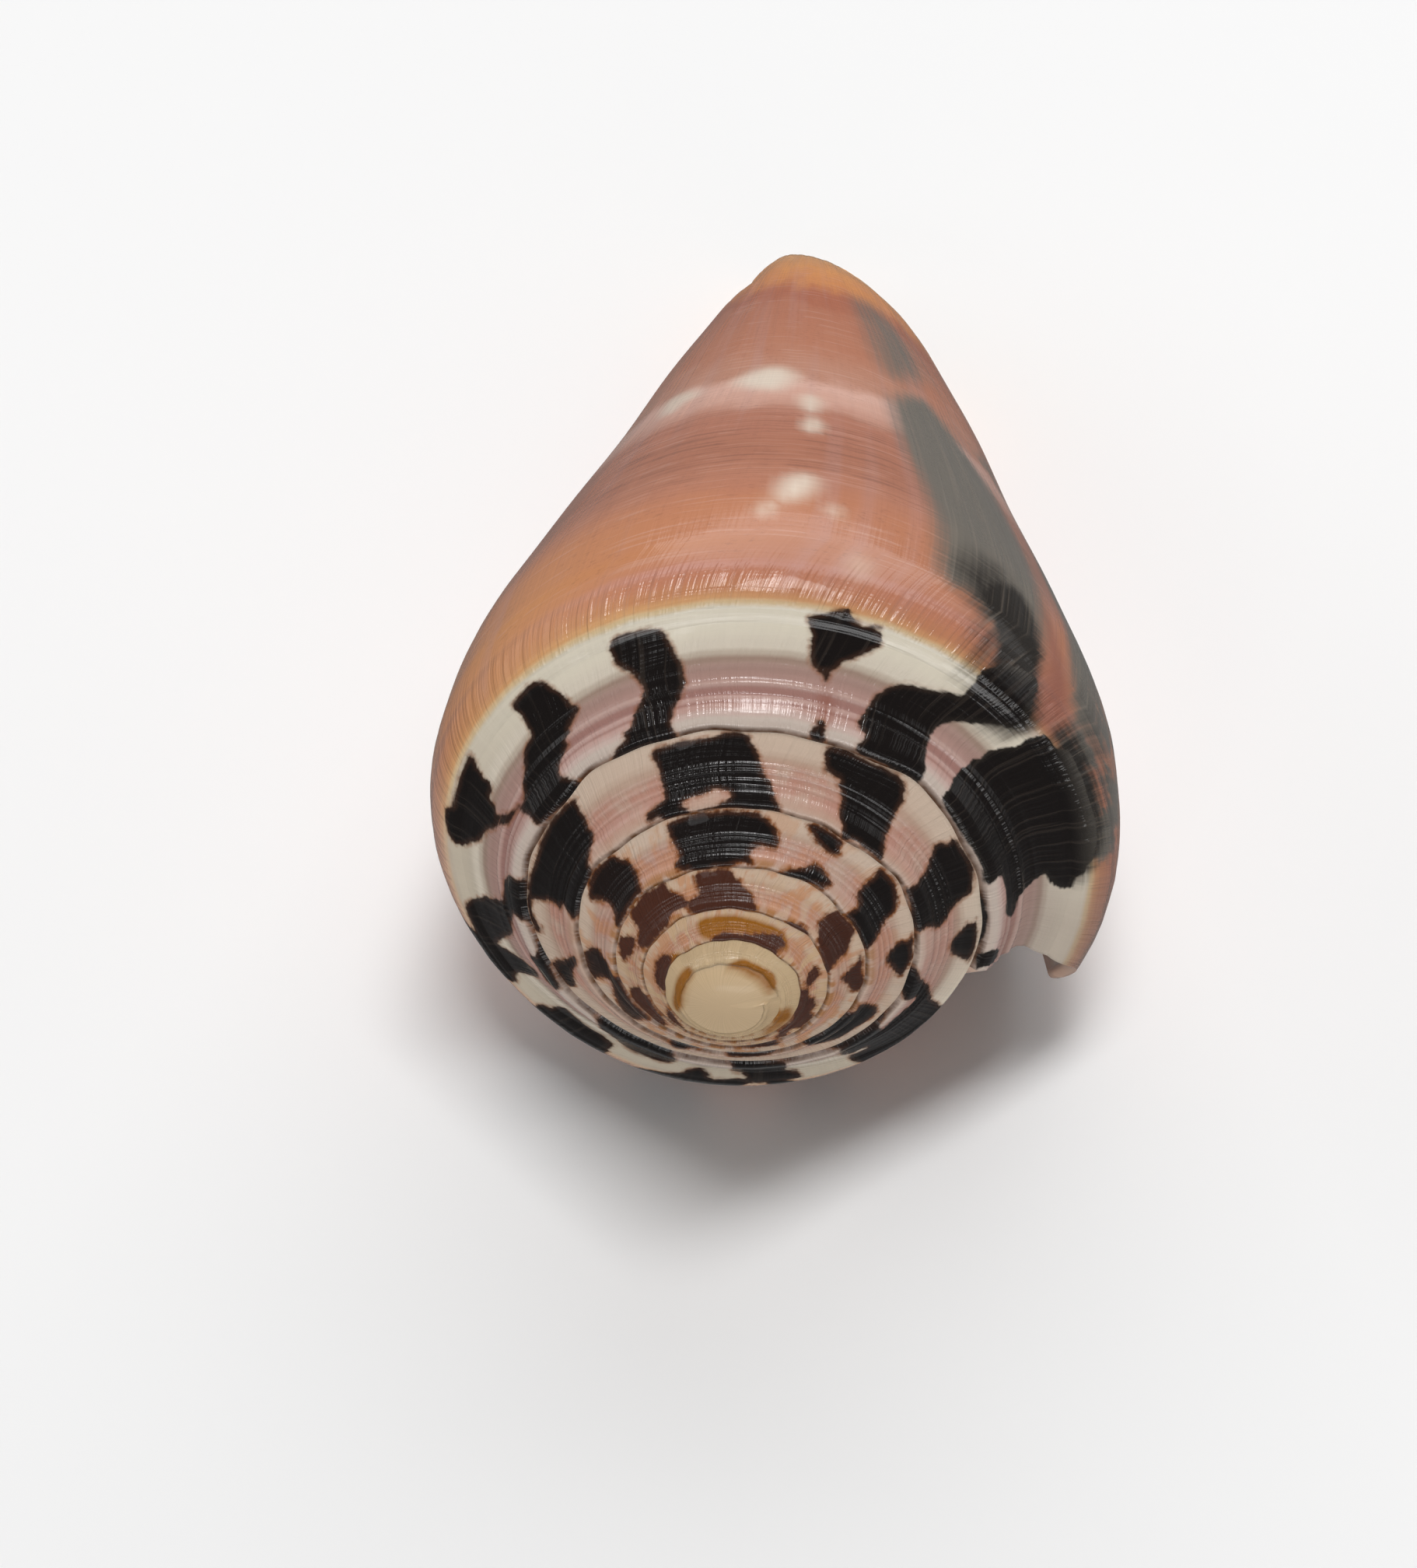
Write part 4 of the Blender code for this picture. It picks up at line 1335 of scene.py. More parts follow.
class RaggedEdge(SurfaceGroup):
    """Group that turns a depth inside a blotch into its dark core and its stained rim."""

    COARSE = (0.28, 1.1, 0.0, 3.0, 0.6)
    FINGERS = (0.12, 4.2, 2.0, 2.0, 0.5)
    CORE = (0.05, 0.34)
    BODY = (-0.05, 0.10)
    RIM = (-0.20, 0.02)

    def __init__(self) -> None:
        """Wire the edge."""
        super().__init__("ragged_edge", ("Depth", "Raggedness"), ("Core", "Body", "Rim"))
        w, coarse = self.wiring, self.grain(*self.COARSE)
        both = w.plus(w.times(coarse, 0.5), w.times(self.grain(*self.FINGERS), 0.5))
        shift = w.times(w.math("SUBTRACT", both, 0.5), self.entry["Raggedness"])
        depth = w.plus(self.entry["Depth"], shift)
        w.put(self.leave["Core"], w.fit(depth, *self.CORE))
        w.put(self.leave["Body"], w.fit(depth, *self.BODY))
        patchy = w.fit(coarse, 0.38, 0.58, (0.30, 1.0))
        w.put(self.leave["Rim"], w.times(w.fit(depth, *self.RIM), patchy))


@dataclass(frozen=True)
class Mask:
    """Smooth step of one named number, or a band with soft edges where soft is given."""

    source: str
    low: float
    high: float
    soft: float = 0.0
    to: Pair = WHOLE


@dataclass(frozen=True)
class Layer:
    """A colour laid over another by a share, where its masks and named numbers meet."""

    name: str
    colour: Colour
    share: float = 1.0
    masks: tuple[Mask, ...] = ()
    numbers: tuple[str, ...] = ()


class Surface(Wiring):
    """Wiring of one of the shell's materials, which reads the surface by name."""

    def __init__(self, name: str, weave: GrowthWeave) -> None:
        """Start the material.

        Args:
            name: Name of the material.
            weave: Group with the growth and spiral lines.
        """
        self.material = bpy.data.materials.new(name)
        self.material.use_nodes = True
        super().__init__(self.material.node_tree)
        self.shader = self.tree.nodes["Principled BSDF"].inputs
        self.known: dict[str, Value] = {}
        self.known |= weave.place(self, Growth=self.read("growth"), Across=self.read("across"))

    def read(self, name: str) -> Value:
        """Give a number by name.

        Args:
            name: A growth line, a mask that is worked out, or what the mesh keeps at its points.

        Returns:
            The number.
        """
        if name not in self.known:
            node = self.node("ShaderNodeAttribute", attribute_name=name)
            self.known[name] = node.outputs["Fac"]
        return self.known[name]

    def mask(self, source: str, low: float, high: float, soft: float = 0.0, to: Pair = WHOLE) -> Socket:
        """Wire a mask from the values that a Mask holds."""
        value = self.read(source)
        return self.between(value, low, high, soft) if soft else self.fit(value, low, high, to)

    def lay(self, base: Value, layers: tuple[Layer, ...]) -> Value:
        """Lay colours over a colour.

        Args:
            base: Colour below.
            layers: Colours from the lowest up.

        Returns:
            The colour.
        """
        for layer in layers:
            masks = [self.mask(m.source, m.low, m.high, m.soft, m.to) for m in layer.masks]
            share = self.times(*masks, *map(self.read, layer.numbers), layer.share)
            base = self.mix(share, base, layer.colour)
            base.node.label = layer.name
        return base

    def bump(self, height: Socket, strength: float, distance: float) -> None:
        """Raise a fine relief.

        Args:
            height: Height from 0 to 1.
            strength: Strength of the relief.
            distance: What a height of 1 stands for, in metres.
        """
        node = self.node("ShaderNodeBump")
        for label, value in (("Strength", strength), ("Distance", distance), ("Height", height)):
            self.put(node.inputs[label], value)
        self.put(self.shader["Normal"], node.outputs["Normal"])


# Grey of the smoke marks, also used for the painted sheen over the ink.
SMOKE_AND_SHEEN_GREY = (0.165, 0.146, 0.121)
OCHRE_BROWN = (0.34, 0.125, 0.010)
THREAD_BROWN = (0.17, 0.07, 0.05)
SCUFF_GREY = (0.060, 0.045, 0.035)
RIM_TAN = (0.56, 0.30, 0.18)
WALL_BAND = Mask("station", 1.75, 2.97, 0.1)
OFF_DOME = Mask("station", -0.03, 0.0)


@dataclass(frozen=True)
class PolishedShell:
    """Outer finish: zones of colour, blotches, growth lines and a natural polish."""

    ramp_zones: Zones = (
        # The dark first stop at the suture is partly the suture's own dark line, partly painted shade in
        # its crease.
        (0.00, (0.42, 0.30, 0.23)), (0.03, (0.58, 0.47, 0.40)), (0.12, (0.61, 0.51, 0.44)),
        (0.17, (0.57, 0.42, 0.37)), (0.235, (0.47, 0.27, 0.23)), (0.36, (0.44, 0.25, 0.22)),
        (0.48, (0.44, 0.27, 0.23)), (0.60, (0.38, 0.24, 0.20)), (0.67, (0.36, 0.25, 0.195)),
        (0.73, (0.54, 0.45, 0.36)), (0.785, (0.70, 0.62, 0.51)), (1.00, (0.76, 0.69, 0.56)),
    )
    body_zones: Zones = (
        (0.00, (0.77, 0.70, 0.57)), (0.10, (0.76, 0.69, 0.56)), (0.135, (0.76, 0.58, 0.34)),
        (0.17, (0.70, 0.38, 0.17)), (0.22, (0.58, 0.26, 0.125)), (0.285, (0.55, 0.225, 0.13)),
        (0.335, (0.55, 0.25, 0.185)), (0.375, (0.55, 0.235, 0.135)), (0.46, (0.54, 0.22, 0.105)),
        (0.52, (0.53, 0.215, 0.11)), (0.56, (0.49, 0.20, 0.12)), (0.60, (0.44, 0.17, 0.10)),
        (0.66, (0.47, 0.185, 0.115)), (0.695, (0.69, 0.39, 0.30)), (0.715, (0.73, 0.43, 0.34)),
        (0.74, (0.53, 0.25, 0.165)), (0.80, (0.49, 0.19, 0.108)), (0.86, (0.49, 0.175, 0.095)),
        (0.888, (0.45, 0.135, 0.066)), (0.93, (0.70, 0.27, 0.085)), (0.96, (0.80, 0.33, 0.095)),
        (1.00, (0.88, 0.44, 0.17)),
    )
    young_pale: Colour = (0.60, 0.425, 0.32)
    young_pink: tuple[Layer, ...] = (
        Layer("pink band of the young whorls", (0.55, 0.27, 0.19), 1.0, (
            Mask("station", 0.16, 0.62, 0.10), Mask("Cloud", 0.3, 0.6))),
    )
    ramp_layers: tuple[Layer, ...] = (
        Layer("peach clouds", (0.58, 0.27, 0.12), 0.75, (
            Mask("turns", 1.6, 3.0), Mask("Cloud", 0.46, 0.60))),
    )
    body_layers: tuple[Layer, ...] = (
        Layer("amber side", (0.62, 0.29, 0.12), 0.75, (
            Mask("station", 1.32, 2.05, 0.12), Mask("growth", 155.0, 196.0, 22.0))),
        Layer("dusky back", (0.66, 0.44, 0.36), 0.6, (
            Mask("station", 1.22, 2.0, 0.1), Mask("growth", 188.0, 215.0))),
        Layer("rosy front", (0.43, 0.165, 0.095), 0.58, (
            Mask("station", 1.30, 2.05, 0.12), Mask("growth", 152.0, 110.0))),
    )
    line_layers: tuple[Layer, ...] = (
        # Darkens the cream of the shoulder further back along the last whorl.
        Layer("darker shoulder further back", (0.40, 0.31, 0.22), 0.45, (
            Mask("station", 0.86, 1.24, 0.06), Mask("growth", 150.0, 215.0), Mask("turns", 1.0, 0.95))),
        Layer("lilac streaks", (0.50, 0.30, 0.28), 0.20, (
            Mask("Broad streaks", 0.50, 0.72), Mask("station", 1.2, 1.6))),
        Layer("new growth", (0.34, 0.25, 0.21), 0.48, (
            Mask("growth", 34.0, 8.0), Mask("station", 0.2, 0.4), Mask("station", 2.2, 1.5))),
        # Darker grooves between the ridges: partly their own darker pink, partly painted shade in the
        # grooves.
        Layer("grooves", (0.28, 0.12, 0.09), 1.0, (
            Mask("station", 0.20, 0.48, 0.03), Mask("ridge", 0.55, 0.1),
            Mask("older", 0.0, 1.0, to=(0.40, 0.10)))),
        # Paler ridges: partly their own pale colour, partly painted highlight along their crests.
        Layer("ridges", (0.70, 0.52, 0.45), 1.0, (Mask("older", 0.0, 1.0, to=(0.34, 0.18)),), ("ridge",)),
        Layer("worn grain", THREAD_BROWN, 0.26, (
            Mask("Grain", 0.52, 0.70), Mask("Cloud", 0.40, 0.60), WALL_BAND)),
        Layer("dark threads", THREAD_BROWN, 0.40, (
            Mask("Fine spirals", 0.50, 0.64), Mask("Cloud", 0.30, 0.55),
            Mask("station", 2.12, 2.34, 0.05))),
        Layer("pale threads", (0.70, 0.46, 0.38), 0.20, (
            Mask("Fine spirals", 0.46, 0.34), Mask("Cloud", 0.60, 0.45), WALL_BAND)),
    )
    mark_layers: tuple[Layer, ...] = (
        Layer("cream of the oldest whorls", (0.64, 0.42, 0.235), 0.8, (
            Mask("turns", 2.6, 4.0), Mask("Cloud", 0.56, 0.42))),
        Layer("nucleus", (0.64, 0.465, 0.275), numbers=("tip",)),
        Layer("flecks", (0.80, 0.68, 0.56), numbers=("fleck",)),
        Layer("clay", (0.31, 0.115, 0.078), numbers=("clay",)),
        Layer("smoke", SMOKE_AND_SHEEN_GREY, 1.0, (Mask("smoky", 0.05, 0.90),)),
        # Dark layer of the soot marks, which also paints the shadow beside the lip.
        Layer("soot", (0.017, 0.013, 0.010), 1.0, (Mask("sooty", 0.04, 0.95),)),
        # Pale hairlines on the dark smoke and soot: partly pale growth lines of the shell, partly painted
        # sheen.
        Layer("pale hairlines and painted sheen", (0.34, 0.27, 0.21), 0.16, (Mask("dark", 0.15, 0.5),), ("hair",)),
        Layer("ochre", OCHRE_BROWN, 1.0, (Mask("Cloud", 0.34, 0.58, to=(0.8, 1.0)),), ("ochre",)),
        Layer("worn dome", (0.36, 0.245, 0.135), 0.30, (Mask("Grain", 0.44, 0.60),), ("dome",)),
        # Dark line along each suture: partly the suture's own dark colour, partly painted shade in its
        # crease.
        Layer("seam stain and painted crease shade", (0.085, 0.032, 0.012), 1.0, (
            Mask("station", 0.065, 0.01), Mask("Cloud", 0.35, 0.60, to=(0.35, 1.0)), OFF_DOME,
            Mask("turns", 5.1, 4.5))),
        Layer("seam rust", OCHRE_BROWN, 0.55, (
            Mask("station", 0.0, 0.16, 0.06), Mask("turns", 1.0, 2.4), Mask("Cloud", 0.46, 0.58),
            Mask("turns", 5.2, 4.8), OFF_DOME)),
        Layer("blotch rim", (0.27, 0.088, 0.022), numbers=("Rim", "stained")),
    )
    dull_edge: Colour = (0.016, 0.012, 0.009)
    ink_layers: tuple[Layer, ...] = (
        Layer("brown edge", (0.050, 0.017, 0.008), numbers=("stained",)),
        Layer("ink", (0.0058, 0.0034, 0.0029), numbers=("Core",)),
        Layer("young ink", (0.075, 0.022, 0.011), 1.0, (Mask("turns", 2.3, 3.6),)),
        Layer("scuffs", SCUFF_GREY, 0.16, numbers=("scuffed",)),
        # Grey growth lines on the ink: partly worn lines, partly painted sheen.
        Layer("etched lines and painted sheen", SCUFF_GREY, 0.28, (
            Mask("Streaks", 0.53, 0.66), Mask("turns", 1.3, 0.9))),
    )
    # Grey laid over the ink where the smoke marks fall: partly smoke colour, partly painted sheen on the
    # ink.
    veil: tuple[Layer, ...] = (
        Layer("smoke and painted sheen over ink", SMOKE_AND_SHEEN_GREY, 0.30, (Mask("smoke", 0.08, 0.9),), ("Body",)),
    )
    raggedness: float = 0.42
    roughness: float = 0.11
    streak_roughness: float = 0.10
    dome_roughness: float = 0.30
    specular: float = 0.37
    coat: float = 0.15
    coat_roughness: float = 0.05
    relief_strength: float = 1.0
    relief_depth: float = 0.12 * MM

    def derive(self, s: Surface, edge: RaggedEdge) -> None:
        """Work out the masks that take more than one step.

        Args:
            s: Wiring of the material.
            edge: Group with the blotches' edges.
        """
        threads, ribs = (s.math("SUBTRACT", s.read(name), 0.5) for name in ("Fine spirals", "Ribs"))
        worn = s.times(s.mask("growth", 66.0, 44.0), s.mask("Cloud", 0.62, 0.42), 0.75)
        soot, hazy = s.read("soot"), s.times(s.read("smoke"), s.math("SUBTRACT", 1.0, worn))
        thin = s.plus(s.times(threads, 0.40), s.times(ribs, 0.55))
        coarse = s.plus(s.times(ribs, 0.75), s.times(threads, 0.4))
        depth = s.math("MINIMUM", s.read("ink"), s.times(s.read("gap"), -1.0))
        blotch = edge.place(s, Depth=depth, Growth=s.read("growth"), Across=s.read("across"),
                            Raggedness=self.raggedness)
        dome = s.mask("station", 0.0, -0.03)
        s.known.update(
            blotch,
            dome=dome,
            tip=s.math("MAXIMUM", dome, s.mask("turns", 4.5, 5.1)),
            older=s.mask("turns", 0.8, 1.1),
            smoky=s.plus(hazy, s.times(thin, s.fit(hazy, 0.0, 0.4))),
            sooty=s.plus(soot, s.times(coarse, s.fit(soot, 0.0, 0.35))),
            dark=s.math("MAXIMUM", soot, s.times(hazy, 0.5)),
            hair=s.math("MAXIMUM", s.mask("Streaks", 0.55, 0.66), s.mask("Ribs", 0.58, 0.68)),
            stained=s.plus(
                s.times(s.mask("growth", 70.0, 105.0), 0.6), s.times(s.mask("turns", 1.0, 2.4), 0.4)),
            scuffed=s.math("MAXIMUM", s.mask("Grain", 0.62, 0.80), s.mask("Ribs", 0.64, 0.78)),
        )

    def ground(self, s: Surface) -> Socket:
        """Colour the zones between the blotches.

        Args:
            s: Wiring of the material.

        Returns:
            The colour.
        """
        wobble = s.math("SUBTRACT", s.read("Cloud"), 0.5)
        young = s.mask("turns", 0.85, 1.25)
        drift = s.times(young, s.mask("station", 0.75, 0.3), 0.12)
        ramp = s.stops(s.plus(s.read("station"), drift, s.times(wobble, 0.05)), self.ramp_zones)
        ramp = s.mix(s.times(young, 0.7), ramp, s.lay(self.young_pale, self.young_pink))
        ramp = s.lay(ramp, self.ramp_layers)
        high = s.times(s.math("SUBTRACT", s.read("station"), 1.0), 0.5)
        high = s.plus(high, s.times(wobble, s.fit(high, 0.7, 0.9, (0.04, 0.06))))
        body = s.lay(s.stops(high, self.body_zones), self.body_layers)
        return s.mix(s.mask("station", 0.99, 1.01), ramp, body)

    def relief(self, s: Surface) -> Socket:
        """Height of the growth lines and spiral threads.

        Args:
            s: Wiring of the material.

        Returns:
            The height.
        """
        streaks = s.read("Streaks")
        calm = s.times(s.mask("turns", 1.0, 0.9), s.mask("station", 0.90, 1.28, 0.06), 0.5)
        flank = s.mask("station", 1.66, 1.9, to=(1.0, 0.45))
        shine = s.times(s.mask("station", 1.24, 1.66, 0.06), 1.1)
        dark = s.math("MAXIMUM", s.read("soot"), s.read("smoke"))
        height = s.plus(
            s.times(streaks, s.math("SUBTRACT", 0.6, calm), flank),
            s.times(s.read("Fine spirals"), 0.22, flank),
            s.times(streaks, shine, 0.6),
            s.times(s.read("Ribs"), s.plus(shine, 0.12, s.times(dark, 0.5))),
        )
        return s.times(height, s.mask("station", -0.04, 0.0))

    def material(self, weave: GrowthWeave, edge: RaggedEdge) -> bpy.types.Material:
        """Make the material.

        Args:
            weave: Group with the growth and spiral lines.
            edge: Group with the blotches' edges.

        Returns:
            The finished material.
        """
        s = Surface("polished_shell", weave)
        self.derive(s, edge)
        base = s.lay(self.ground(s), self.line_layers)
        streaks = s.read("Streaks")
        fine = s.plus(0.965, s.times(streaks, 0.07))
        base = s.lay(s.mix(1.0, base, s.vector(fine, fine, fine), "MULTIPLY"), self.mark_layers)
        base = s.mix(s.read("Body"), base, s.lay(self.dull_edge, self.ink_layers))
        rough = s.plus(self.roughness, s.times(streaks, self.streak_roughness))
        for label, value in {
            "Base Color": s.lay(base, self.veil),
            "Roughness": s.plus(rough, s.times(s.read("dome"), self.dome_roughness)),
            "Specular IOR Level": self.specular,
            "Coat Weight": self.coat,
            "Coat Roughness": self.coat_roughness,
        }.items():
            s.put(s.shader[label], value)
        s.bump(self.relief(s), self.relief_strength, self.relief_depth)
        return s.material


@dataclass(frozen=True)
class Porcelain:
    """Inner finish: the pale, smooth inside of the aperture and the lip's coloured rim."""

    pale: Colour = (0.80, 0.73, 0.66)
    layers: tuple[Layer, ...] = (
        Layer("deep inside", (0.62, 0.50, 0.44), 1.0, (Mask("growth", 4.0, 60.0),)),
        Layer("tan streaks", RIM_TAN, 0.3, (Mask("Broad streaks", 0.4, 0.7),)),
        Layer("lip rim", RIM_TAN, 0.75, (Mask("growth", 3.0, 0.3),)),
    )
    roughness: float = 0.2
    streak_roughness: float = 0.08
    coat: float = 0.3
    relief_strength: float = 0.4
    relief_depth: float = 0.04 * MM

    def material(self, weave: GrowthWeave) -> bpy.types.Material:
        """Make the material.

        Args:
            weave: Group with the growth and spiral lines.

        Returns:
            The finished material.
        """
        s = Surface("shell_porcelain", weave)
        streaks = s.read("Streaks")
        s.put(s.shader["Base Color"], s.lay(self.pale, self.layers))
        s.put(s.shader["Roughness"], s.plus(self.roughness, s.times(streaks, self.streak_roughness)))
        s.put(s.shader["Coat Weight"], self.coat)
        s.bump(streaks, self.relief_strength, self.relief_depth)
        return s.material


@dataclass
class Rest:
    """How the shell lies: the turn and shift from its own frame to the ground's."""

    azimuth: float = -85.65
    pitch: float = -16.34
    shift: tuple[float, float, float] = (0.0, 0.0, 0.0)

    def settle(self, points: np.ndarray) -> None:
        """Shift the shell to where its solid lies.

        Args:
            points: Points of the shell in its own frame.
        """
        self.shift = (0.0, 0.0, 0.0)
        turned = points @ np.array(self.matrix())[:3, :3].T
        low, high = turned.min(axis=0), turned.max(axis=0)
        box_low, box_high = np.array(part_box("shell"))
        middle = (box_low + box_high - low - high) / 2.0
        self.shift = (float(middle[0]), float(middle[1]), float(box_low[2] - low[2]))

    def matrix(self) -> Matrix:
        """Work out how the shell's frame lies on the ground.

        Returns:
            Matrix from the shell's frame to the ground's.
        """
        spin = Matrix.Rotation(math.radians(-90.0 - self.azimuth), 4, "Z")
        lay = Matrix.Rotation(math.radians(90.0 + self.pitch), 4, "X")
        return Matrix.Translation(self.shift) @ lay @ spin


@dataclass
class ConeShell:
    """The whole shell as one piece."""

    grid: ShellGrid
    view: PhotoView
    rest: Rest
    lip_steps: int = 3
    lip_bulge: float = 0.16 * MM
    front_drop: float = 0.6 * MM
    front_shares: tuple[float, ...] = (0.3, 0.6, 0.85)
    apex_height: float = -0.95 * MM
    apex_rings: int = 7
    apex_bend: float = 2.2
    apex_rounding: float = 1.8
    apex_shift: float = 3.0
    across_steps: int = 241
    parts: dict[str, list[np.ndarray]] = field(default_factory=lambda: defaultdict(list))
    faces: list[list[int]] = field(default_factory=list)
    inner_faces: set[int] = field(default_factory=set)
    spire: np.ndarray = field(init=False)
    body: np.ndarray = field(init=False)
    inside: np.ndarray = field(init=False)

    def add(self, points: np.ndarray, back: np.ndarray, station: np.ndarray) -> np.ndarray:
        """Add points to the mesh.

        Args:
            points: Their places.
            back: Their growth angles.
            station: Their stations.

        Returns:
            Their numbers.
        """
        shape, count = points.shape[:-1], sum(map(len, self.parts["point"]))
        self.parts["point"].append(points.reshape(-1, 3))
        for name, values in (("back", back), ("station", station)):
            self.parts[name].append(np.broadcast_to(values, shape).reshape(-1))
        return np.arange(count, count + int(np.prod(shape))).reshape(shape)

    def all(self, name: str) -> np.ndarray:
        """Points, growth angles or stations of the whole mesh so far."""
        return np.concatenate(self.parts[name])

    def sheet(self, numbers: np.ndarray, inner: bool = False, flip: bool = False) -> np.ndarray:
        """Span quads over a grid of points.

        Args:
            numbers: Point numbers, columns first.
            inner: True for the inside of the aperture.
            flip: True where the faces turn the other way.

        Returns:
            The quads.
        """
        corners = [numbers[:-1, :-1], numbers[:-1, 1:], numbers[1:, 1:], numbers[1:, :-1]]
        quads = np.stack(corners, axis=-1).reshape(-1, 4)
        if flip:
            quads = quads[:, ::-1]
        if inner:
            self.inner_faces.update(range(len(self.faces), len(self.faces) + len(quads)))
        self.faces.extend(quads.tolist())
        return quads

    def close(self, rings: list[np.ndarray], tip: np.ndarray, station: float, flip: bool) -> np.ndarray:
        """Span closed rings of points, and triangles from the last ring to a tip.

        Args:
            rings: Point numbers, ring by ring.
            tip: Place of the tip.
            station: Station of the tip.
            flip: True where the faces turn the other way.

        Returns:
            The quads.
        """
        quads = self.sheet(np.stack([np.append(ring, ring[0]) for ring in rings]), flip=flip)
        back = self.all("back")[rings[0][:1]]
        middle = int(self.add(tip[None, :], back, np.array([station]))[0])
        for a, b in zip(rings[-1].tolist(), np.roll(rings[-1], -1).tolist()):
            self.faces.append([a, middle, b] if flip else [a, b, middle])
        return quads

    def skin(self) -> np.ndarray:
        """Span the spire, the body whorl and the wall inside the aperture.

        Returns:
            The quads of the outside.
        """
        g = self.grid
        self.spire = self.add(*g.outer(*np.meshgrid(range(g.last + 1), range(g.join + 1), indexing="ij")))
        rows = range(g.join, g.end + 1)
        self.body = self.add(*g.outer(*np.meshgrid(range(g.columns + g.depth + 1), rows, indexing="ij")))
        quads = [self.sheet(self.spire), self.sheet(self.body[: g.columns + 1])]
        self.sheet(self.body[g.columns :, g.roof - g.join :], inner=True)
        return np.concatenate(quads)

    def apex(self) -> np.ndarray:
        """Span the worn, rounded tip of the spire, whose stations run below 0 towards the axis.

        Returns:
            The quads.
        """
        g = self.grid
        rim = self.spire[g.last - g.columns : g.last + 1, 0]
        loop = np.concatenate([rim, self.spire[g.last, 1 : g.join]])
        spots, back = self.all("point")[loop], self.all("back")[loop]
        level = float(spots[: g.columns, 2].mean())
        middle = spots[: g.columns, :2].mean(axis=0) * self.apex_shift
        arms = spots[:, :2] - middle
        turned = np.unwrap(np.arctan2(arms[:, 1], arms[:, 0]))
        walked = np.concatenate([[0.0], np.cumsum(np.linalg.norm(np.diff(spots, axis=0), axis=1))])
        round_trip = walked[-1] + np.linalg.norm(spots[-1] - spots[0])
        even = np.sign(turned[g.columns // 2] - turned[0]) * math.tau * walked / round_trip
        even += float((turned - even).mean())
        reach = float(np.linalg.norm(arms, axis=1).mean())
        circle = np.stack([np.cos(even), np.sin(even)], axis=1) * reach
        rings = [loop]
        for step in range(1, self.apex_rings + 1):
            share = step / (self.apex_rings + 1)
            rounding = float(ease(np.array(self.apex_rounding * share)))
            base = spots[:, 2] + (level - spots[:, 2]) * rounding
            ring = np.empty_like(spots)
            ring[:, :2] = middle + (arms + (circle - arms) * rounding) * (1.0 - share)
            ring[:, 2] = base + (self.apex_height - base) * (1.0 - (1.0 - share) ** self.apex_bend)
            rings.append(self.add(ring, back, np.full(len(ring), -share)))
        return self.close(rings, np.array([*middle, self.apex_height]), -1.0, False)

    def aperture(self) -> None:
        """Span the lip's inside, its roof, its rounded edge and the aperture's far end."""
        g = self.grid
        inside = self.add(*g.inner(*np.meshgrid(range(g.depth + 1), range(g.end + 1), indexing="ij")))
        self.inside = inside
        self.sheet(inside, inner=True, flip=True)
        points, back, station = self.all("point"), self.all("back"), self.all("station")
        edge, behind = (np.concatenate([self.spire[i, : g.join], self.body[i]]) for i in (0, 1))
        a, b = points[edge], points[inside[0]]
        ahead = a - points[behind]
        ahead /= np.linalg.norm(ahead, axis=1, keepdims=True)
        rings = [edge]
        for step in range(1, self.lip_steps + 1):
            share = step / (self.lip_steps + 1)
            spots = a + (b - a) * share + ahead * self.lip_bulge * math.sin(math.pi * share)
            rings.append(self.add(spots, back[edge], station[edge]))
        self.sheet(np.stack([*rings, inside[0]]), inner=True, flip=True)
        wall = self.body[g.columns + g.depth, g.roof - g.join :]
        self.sheet(np.stack([wall, inside[g.depth, g.roof :]]), inner=True)

    def front(self) -> None:
        """Span the front rim of the lip and the closed front of the columella."""
        g = self.grid
        self.sheet(np.stack([self.body[: g.depth + 1, -1], self.inside[:, -1]]), inner=True)
        loop = np.append(self.inside[g.depth, -1], self.body[g.depth : g.columns + g.depth + 1, -1])
        spots, back, station = (self.all(name)[loop] for name in ("point", "back", "station"))
        centre = np.array([0.0, 0.0, spots[:, 2].mean() - self.front_drop])
        rings = [loop]
        for share in self.front_shares:
            ring = spots + (centre - spots) * share
            ring[:, 2] = spots[:, 2] + (centre[2] - spots[:, 2]) * math.sin(share * math.pi / 2.0)
            rings.append(self.add(ring, back, station))
        self.close(rings, centre, float(station[0]), True)

    def numbers(self, fields: Fields) -> dict[str, np.ndarray]:
        """Gather what the materials read at the mesh's points.

        Args:
            fields: The marks' fields on the first points, those of the outside.

        Returns:
            One array a name, over all points.
        """
        back, station = self.all("back"), self.all("station")
        named = {kind.value: np.append(values, np.full(len(back) - len(values), kind.blank))
                 for kind, values in fields.items()}
        stations, _, lengths = self.grid.law.chart(0.0, self.across_steps)
        across = np.interp(station, stations, lengths) / MM
        named["across"] = across * whorl_size(np.maximum(back - TURN, 0.0))
        named["ridge"] = self.grid.relief.ridge_mask(back, station)
        growth = self.grid.growth(back, station)
        return named | {"growth": growth, "station": station, "turns": back / TURN}

